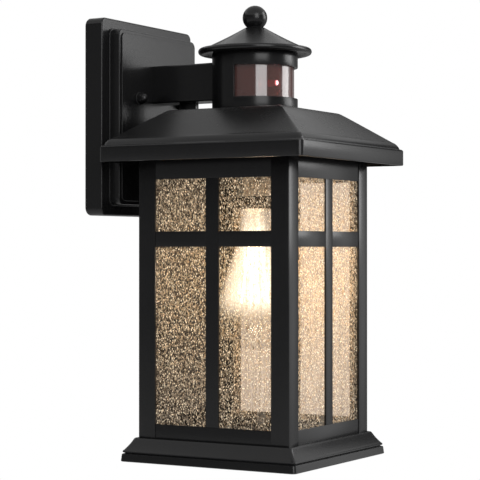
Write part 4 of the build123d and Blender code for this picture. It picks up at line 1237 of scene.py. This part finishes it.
def makeHolderShell():
    low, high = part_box("socket_cap")
    radius = (high.x - low.x) / 2
    bm = bmesh.new()
    bore = holderLook["bore"]
    outline = [(bore, high.z), (0.0090, high.z)] + arcPoints(0.0094, high.z - 0.0012, 0.0012, 90, 40, 4)
    outline += [(radius - 0.0012, high.z - 0.0042), (radius - 0.0003, high.z - 0.0054),
                (radius, high.z - 0.0070)]
    for z in holderLook["beads"]:      # rolled beads round the shell
        groove = radius - 0.00045
        outline += [(radius, z + 0.0009), (groove, z + 0.0004), (groove, z - 0.0004), (radius, z - 0.0009)]
    outline += [(radius, low.z + 0.0004), (radius - 0.0003, low.z), (radius - 0.0008, low.z),
                (radius - 0.0008, high.z - 0.007), (0.0130, high.z - 0.0046), (0.0088, high.z - 0.0010),
                (bore, high.z - 0.0010)]
    turnProfile(bm, outline, sides=holderLook["sides"])
    finishPiece("holderShell", bm, holderMetal, replaced=["socket_cap"], smooth=36.0)


def makeHolderCollar():
    low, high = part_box("socket_skirt")
    radius = (high.x - low.x) / 2
    bm = bmesh.new()
    bore = holderLook["collarBore"]
    outline = [(bore, high.z), (radius - 0.0012, high.z)]
    outline += arcPoints(radius - 0.0010, high.z - 0.0010, 0.0010, 90, 0, 4)
    outline += [(radius, high.z - 0.0026), (radius - 0.0006, high.z - 0.0030),
                (radius - 0.0006, high.z - 0.0034), (radius, high.z - 0.0038), (radius, low.z + 0.0014)]
    outline += arcPoints(radius - 0.0012, low.z + 0.0012, 0.0012, 0, -90, 4)
    outline += [(0.0146, low.z), (bore, low.z + 0.0005)]
    turnProfile(bm, outline, sides=holderLook["sides"])
    finishPiece("holderCollar", bm, holderCollar, replaced=["socket_skirt"], smooth=36.0)


def makeThreadedSleeve():
    low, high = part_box("socket_shell")
    bm = bmesh.new()
    inner = threadSleeve(bm, holderLook["sleeveRadius"], holderLook["sleeveDepth"], holderLook["sleevePitch"],
                         low.z, high.z, sides=72, rows=10)
    outer = turnProfile(bm, [(0.0140, high.z), (0.0140, low.z)], sides=72, closed=False)
    bridgeRings(bm, [inner[-1], outer[0]])
    bridgeRings(bm, [outer[1], inner[0]])
    finishPiece("threadedSleeve", bm, contactBrass, replaced=["socket_shell"], smooth=60.0)


nippleLook = {"radius": 0.0049, "depth": 0.00035, "pitch": 0.00141, "bore": 0.0034}


def makeNipple():
    low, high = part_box("nipple")
    bm = bmesh.new()
    tube = threadSleeve(bm, nippleLook["radius"], nippleLook["depth"], nippleLook["pitch"],
                        low.z, high.z, sides=32, rows=6)
    hole = nippleLook["bore"]
    bore = turnProfile(bm, [(hole, high.z), (hole, low.z)], sides=32, closed=False)
    bridgeRings(bm, [tube[-1], bore[0]])
    bridgeRings(bm, [bore[1], tube[0]])
    finishPiece("threadedNipple", bm, zincSteel, replaced=["nipple"], smooth=50.0)


globeLook = {"neck": 0.0124, "join": 12.0, "pull": 1.1, "wall": 0.0009, "sides": 72, "shoulderSteps": 15}


def makeGlobe():
    low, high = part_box("bulb_glass")
    neck, join, pull = globeLook["neck"], globeLook["join"], globeLook["pull"]
    sides, steps, wallThick = globeLook["sides"], globeLook["shoulderSteps"], globeLook["wall"]
    bm = bmesh.new()
    outline = arcPoints(0.0, bulbCentreZ, bulbRadius, -88, join, 34)
    startR, startZ = outline[-1]
    endR, endZ = neck, high.z - 0.006
    span = startZ - endZ
    for i in range(1, steps):          # flowing shoulder from the globe into the neck
        t = i / steps
        h00, h10 = 2 * t ** 3 - 3 * t ** 2 + 1, t ** 3 - 2 * t ** 2 + t
        h01, h11 = -2 * t ** 3 + 3 * t ** 2, t ** 3 - t ** 2
        slopeR = -math.sin(math.radians(join)) * abs(span) * pull
        slopeZ = math.cos(math.radians(join)) * abs(span) * pull
        outline.append((h00 * startR + h10 * slopeR + h01 * endR,
                        h00 * startZ + h10 * slopeZ + h01 * endZ + h11 * abs(span) * pull))
    outline += [(neck, endZ), (neck, high.z - 0.001)]
    rings = turnProfile(bm, outline, sides=sides, closed=False)
    tip = bm.verts.new((axisX, axisY, low.z))
    for i in range(sides):
        bm.faces.new((rings[0][(i + 1) % sides], rings[0][i], tip))
    wall = [(max(0.0004, r - wallThick), z) for r, z in outline[2:]]
    wall[0] = (0.0004, low.z + wallThick)
    innerRings = turnProfile(bm, wall, sides=sides, closed=False)
    capRing(bm, innerRings[0])
    bridgeRings(bm, [rings[-1], innerRings[-1]])
    globe = finishPiece("bulbGlobe", bm, bulbGlass, body="bulb", replaced=["bulb_glass"],
                        smooth=60.0)
    globe.visible_shadow = False


screwLook = {"radius": 0.01305, "depth": 0.00055, "pitch": 0.00363, "sides": 72}


def makeBulbCap():
    low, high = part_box("bulb_base")
    bm = bmesh.new()
    outline = [(0.0046, high.z), (0.0049, high.z - 0.0010), (0.0058, high.z - 0.0014),
               (0.0062, high.z - 0.0017), (0.0114, high.z - 0.0043), (0.01245, high.z - 0.0052)]
    sides = screwLook["sides"]
    top = turnProfile(bm, outline, sides=sides, closed=False)
    capRing(bm, top[0])
    sleeve = threadSleeve(bm, screwLook["radius"], screwLook["depth"], screwLook["pitch"],
                          low.z + 0.0012, high.z - 0.0056, sides=sides, rows=10)
    bridgeRings(bm, [top[-1], sleeve[-1]])
    neck = globeLook["neck"]
    outline = [(0.01285, low.z + 0.0006), (0.01295, low.z), (neck, low.z), (neck, high.z - 0.0064)]
    foot = turnProfile(bm, outline, sides=sides, closed=False)
    bridgeRings(bm, [sleeve[0], foot[0]])
    capRing(bm, foot[-1])
    finishPiece("bulbCap", bm, bulbCapMetal, body="bulb", replaced=["bulb_base"],
                smooth=50.0)


def makeStem():
    low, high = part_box("bulb_stem")
    bm = bmesh.new()
    outline = [(0.0114, high.z), (0.0112, high.z - 0.0012), (0.0078, high.z - 0.0026),
               (0.0046, high.z - 0.0044), (0.0034, high.z - 0.0076), (0.0027, high.z - 0.0120),
               (0.0024, high.z - 0.0200), (0.0022, low.z + 0.0035), (0.0026, low.z + 0.0024),
               (0.0024, low.z + 0.0010), (0.0012, low.z)]
    rings = turnProfile(bm, outline, sides=40, closed=False)
    capRing(bm, rings[0], flip=True)
    capRing(bm, rings[-1])
    finishPiece("bulbStem", bm, glowingStemGlass, body="bulb", replaced=["bulb_stem"], smooth=60.0)


filamentLook = {"count": 4, "radius": 0.0080, "lean": -8, "length": 0.050, "rows": 50, "sides": 12,
                "thick": 0.00078, "swell": 0.00012, "end": 0.0004}


def makeFilaments():
    middle = Vector((axisX, axisY, lampZ))
    length, rows, sides = filamentLook["length"], filamentLook["rows"], filamentLook["sides"]
    turns = [2 * math.pi * s / sides for s in range(sides)]
    bm = bmesh.new()
    for k in range(filamentLook["count"]):
        tilt = (Matrix.Translation(middle) @ Matrix.Rotation(math.radians(45 + 90 * k), 4, "Z")
                @ Matrix.Translation((filamentLook["radius"], 0, 0))
                @ Matrix.Rotation(math.radians(filamentLook["lean"]), 4, "Y"))
        rings = []
        for row in range(rows + 1):       # strip of phosphor with a bead over every chip
            z = -length / 2 + length * row / rows
            bead = filamentLook["thick"] + filamentLook["swell"] * math.cos(math.pi * row)
            if row in (0, rows):
                bead = filamentLook["end"]
            spots = [Vector((bead * math.cos(turn), bead * math.sin(turn), z)) for turn in turns]
            rings.append([bm.verts.new(tilt @ spot) for spot in spots])
        bridgeRings(bm, rings)
        capRing(bm, rings[0], flip=True)
        capRing(bm, rings[-1])
    finishPiece("bulbFilaments", bm, filamentGlow, body="bulb", replaced=["led_filaments"],
                smooth=60.0)


controlLook = {"corner": 0.002, "dialAt": 0.010, "ringInner": 0.0060, "ringOuter": 0.0064,
               "ringHigh": 0.00022, "ticks": 11, "firstTick": -135, "tickStep": 27}


def makeControls():
    low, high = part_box("control_box")
    bm = bmesh.new()
    cx, cy = (low.x + high.x) / 2, (low.y + high.y) / 2
    halfX, halfY, corner = (high.x - low.x) / 2, (high.y - low.y) / 2, controlLook["corner"]
    rings = []
    for inset, z in ((0.0, high.z), (0.0, low.z + 0.0006), (0.00018, low.z + 0.00018), (0.0006, low.z)):
        ring = []
        for quarter in range(4):
            middle = math.radians(45 + 90 * quarter)
            ox = math.copysign(halfX - corner, math.cos(middle))
            oy = math.copysign(halfY - corner, math.sin(middle))
            for i in range(5):
                turn = math.radians(90 * quarter + 90 * i / 4)
                r = corner - inset
                ring.append(bm.verts.new((cx + ox + r * math.cos(turn), cy + oy + r * math.sin(turn), z)))
        rings.append(ring)
    bridgeRings(bm, rings)
    capRing(bm, rings[0])
    capRing(bm, rings[-1], flip=True)
    for side in (-1, 1):            # raised scale ring with tick marks round each dial
        where = (cx + side * controlLook["dialAt"], cy)
        inner, outer = controlLook["ringInner"], controlLook["ringOuter"]
        crest = low.z - controlLook["ringHigh"]
        outline = [(inner, low.z), (outer, low.z), (outer, crest), (inner, crest)]
        turnProfile(bm, outline, sides=48, centre=where)
        for k in range(controlLook["ticks"]):
            turn = math.radians(controlLook["firstTick"] + controlLook["tickStep"] * k) + math.pi / 2
            spin = Matrix.Translation((where[0], where[1], low.z - 0.0001)) @ Matrix.Rotation(turn, 4, "Z")
            one = bmesh.new()
            boxBetween(one, (0.0067, -0.00014, -0.00016), (0.0079, 0.00014, 0.00012))
            bmesh.ops.transform(one, verts=one.verts[:], matrix=spin)
            copyInto(bm, one)
    finishPiece("controlBox", bm, controlPlastic, replaced=["control_box"], smooth=40.0)


print("building pieces")
makeRoof()
makeTurret()
makeLens()
makeCap()
makeFinial()
makeCage()
makeBackPanel()
makePane("seededPaneFront", "glass_front", 0)
makePane("seededPaneRight", "glass_right", 1)
makePane("seededPaneLeft", "glass_left", -1)
makeBase()
makeLug()
makeCapNut("capNutLeft", "cap_nut_left", "left_nut")
makeCapNut("capNutRight", "cap_nut_right", "right_nut")
makeWashers()
makeStuds()
makeHolderShell()
makeHolderCollar()
makeThreadedSleeve()
makeNipple()
makeGlobe()
makeBulbCap()
makeStem()
makeFilaments()
makeControls()

# finishes for the CAD parts that stay in view
finishOfSlot = {
    "powder_black": powderBlack, "zinc_steel": zincSteel, "ground_green": groundGreen, "foam": gasketFoam,
    "washer_rubber": washerRubber, "seeded_glass": seededGlass, "smoked_lens": smokedLens,
    "circuit_board": circuitBoard, "sensor_can": sensorCan, "status_red": statusRed, "relay_case": relayCase,
    "capacitor_sleeve": capacitorSleeve, "holder_metal": holderMetal, "holder_collar": holderCollar,
    "contact_brass": contactBrass, "bulb_cap_metal": bulbCapMetal, "bulb_glass": bulbGlass,
    "filament": filamentGlow, "control_plastic": controlPlastic}
slotOfNode = {part["node"]: part["material_slot"] for part in frame["record"]["subparts"]}
for nodeName, nodeObject in frame["nodes"].items():
    finish = finishOfSlot[slotOfNode[nodeName]]
    nodeObject.data.materials.clear()
    nodeObject.data.materials.append(finish)
print("finishes set")

studioLook = {
    "floorDrop": 0.95, "floorRadius": 5.0,
    "dim": 0.20, "front": 0.88, "frontAzimuth": -37.3, "gap": 0.05,
    "domeLow": 1.0, "dome": 0.54, "below": 0.40,
    "softboxes": [
        # name, azimuth of its middle, distance, width, height, lower edge, watts
        ("softboxNear", 228.0, 1.9, 1.10, 1.5, 0.0, 13.0),
        ("softboxFar", 310.7, 1.9, 0.95, 1.5, 0.0, 15.0)]}


def makeWorld():
    world = bpy.data.worlds.new("studio")
    scene.world = world
    world.use_nodes = True
    tree = world.node_tree
    tree.nodes.clear()
    link = tree.links.new
    output = addNode(tree, "ShaderNodeOutputWorld", 900, 0)
    place = addNode(tree, "ShaderNodeTexCoord", -1200, 0)
    front = math.radians(studioLook["frontAzimuth"])
    toward = addNode(tree, "ShaderNodeVectorMath", -960, 200, {"operation": "DOT_PRODUCT"})
    toward.inputs[1].default_value = (math.cos(front), math.sin(front), 0.0)
    link(place.outputs["Generated"], toward.inputs[0])
    side = addRamp(tree, -760, 200, [(0.93, studioLook["dim"]), (0.985, studioLook["front"])])
    link(toward.outputs["Value"], side.inputs["Fac"])
    split = addNode(tree, "ShaderNodeSeparateXYZ", -960, -100)
    link(place.outputs["Generated"], split.inputs[0])
    up = addRamp(tree, -760, -100, [(0.39, 0.0), (0.45, 1.0)])
    link(split.outputs["Z"], up.inputs["Fac"])
    band = addRamp(tree, -760, -600, [(0.14, 0.0), (0.24, 1.0)])
    link(split.outputs["Z"], band.inputs["Fac"])
    down = addRamp(tree, -760, -360, [(0.06, 0.0), (0.4, 1.0)])
    link(addMath(tree, "MULTIPLY", -860, -420, split.outputs["Z"], -1.0), down.inputs["Fac"])
    level = studioLook["gap"]
    light = mixColours(tree, -560, 60, band.outputs["Color"], side.outputs["Color"], (level, level, level))
    sky = addRamp(tree, -760, -840, [(0.43, studioLook["domeLow"]), (0.62, studioLook["dome"])])
    link(split.outputs["Z"], sky.inputs["Fac"])
    light = mixColours(tree, -420, 60, up.outputs["Color"], light, sky.outputs["Color"])
    level = studioLook["below"]
    light = mixColours(tree, -220, 60, down.outputs["Color"], light, (level, level, level))
    ray = addNode(tree, "ShaderNodeLightPath", -220, 360)
    light = mixColours(tree, 60, 100, ray.outputs["Is Camera Ray"], light, (1.0, 1.0, 1.0))
    background = addNode(tree, "ShaderNodeBackground", 400, 0)
    link(light, background.inputs["Color"])
    link(background.outputs[0], output.inputs["Surface"])


def makeSoftbox(name, azimuth, distance, width, height, foot, watts):
    turn = math.radians(azimuth)
    data = bpy.data.lights.new(name, "AREA")
    data.shape = "RECTANGLE"
    data.size = width
    data.size_y = height
    data.energy = watts
    light = bpy.data.objects.new(name, data)
    scene.collection.objects.link(light)
    light.location = pointAround(distance, turn, foot + height / 2)
    aim = Vector((axisX, axisY, foot + height / 2)) - light.location
    light.rotation_mode = "QUATERNION"
    light.rotation_quaternion = aim.to_track_quat("-Z", "Y")
    light.visible_camera = False


def makeFloor():
    radius = studioLook["floorRadius"]
    height = cadBounds[0].z - studioLook["floorDrop"]
    bm = bmesh.new()
    outline = [(0.02, height), (1.0, height), (radius * 0.6, height), (radius, height)]
    rings = turnProfile(bm, outline, sides=96, closed=False)
    capRing(bm, rings[0])
    mesh = bpy.data.meshes.new("floor")
    bmesh.ops.recalc_face_normals(bm, faces=bm.faces)
    bm.to_mesh(mesh)
    bm.free()
    floor = bpy.data.objects.new("floor", mesh)
    scene.collection.objects.link(floor)
    material, tree, shader = newMaterial("paleFloor")
    link = tree.links.new
    place = addNode(tree, "ShaderNodeTexCoord", -900, 0)
    grain = addNode(tree, "ShaderNodeTexNoise", -640, 200, Scale=40.0, Detail=3.0)
    link(place.outputs["Object"], grain.inputs["Vector"])
    tone = mixColours(tree, -300, 200, grain.outputs["Fac"], (0.86, 0.86, 0.855), (0.84, 0.84, 0.835))
    link(tone, shader.inputs["Base Color"])
    shader.inputs["Roughness"].default_value = 0.7
    centre = addNode(tree, "ShaderNodeVectorMath", -640, -160, {"operation": "DISTANCE"})
    centre.inputs[1].default_value = (axisX, axisY, height)
    link(place.outputs["Object"], centre.inputs[0])
    share = addMath(tree, "DIVIDE", -460, -160, centre.outputs["Value"], radius)
    fade = addRamp(tree, -280, -160, [(0.25, 1.0), (0.98, 0.0)])
    link(share, fade.inputs["Fac"])
    link(fade.outputs["Color"], shader.inputs["Alpha"])
    mesh.materials.append(material)


lampLight = {"colour": (1.0, 0.84, 0.64), "watts": 0.45, "radius": 0.012}
statusLight = {"colour": (1.0, 0.08, 0.06), "watts": 0.006, "radius": 0.002, "ahead": 0.003}


def makePointLight(name, look, where):
    data = bpy.data.lights.new(name, "POINT")
    data.color = look["colour"]
    data.energy = look["watts"]
    data.shadow_soft_size = look["radius"]
    light = bpy.data.objects.new(name, data)
    scene.collection.objects.link(light)
    light.location = where


cameraLook = {"lens": 128.9, "sensor": 36.0, "shiftX": 0.0360, "shiftY": 0.0003, "near": 0.05, "far": 60.0,
              "place": (-1.2204, -0.8130, -0.1250), "target": (0.0, -0.0900, -0.1173)}


def makeCamera():
    data = bpy.data.cameras.new("camera")
    data.lens = cameraLook["lens"]
    data.sensor_width = cameraLook["sensor"]
    data.shift_x = cameraLook["shiftX"]
    data.shift_y = cameraLook["shiftY"]
    data.clip_start = cameraLook["near"]
    data.clip_end = cameraLook["far"]
    camera = bpy.data.objects.new("camera", data)
    scene.collection.objects.link(camera)
    target = Vector(cameraLook["target"])
    camera.location = cameraLook["place"]
    camera.rotation_mode = "QUATERNION"
    camera.rotation_quaternion = (target - camera.location).to_track_quat("-Z", "Y")
    scene.camera = camera


makeWorld()
for box in studioLook["softboxes"]:
    makeSoftbox(*box)
makeFloor()
makePointLight("lampGlow", lampLight, (axisX, axisY, lampZ))
ledLow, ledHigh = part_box("status_led")
ledFront = ledLow.y - statusLight["ahead"]
makePointLight("statusGlow", statusLight, ((ledLow.x + ledHigh.x) / 2, ledFront, (ledLow.z + ledHigh.z) / 2))
makeCamera()
scene.view_settings.view_transform = "Standard"
scene.view_settings.look = "None"
print("studio ready")
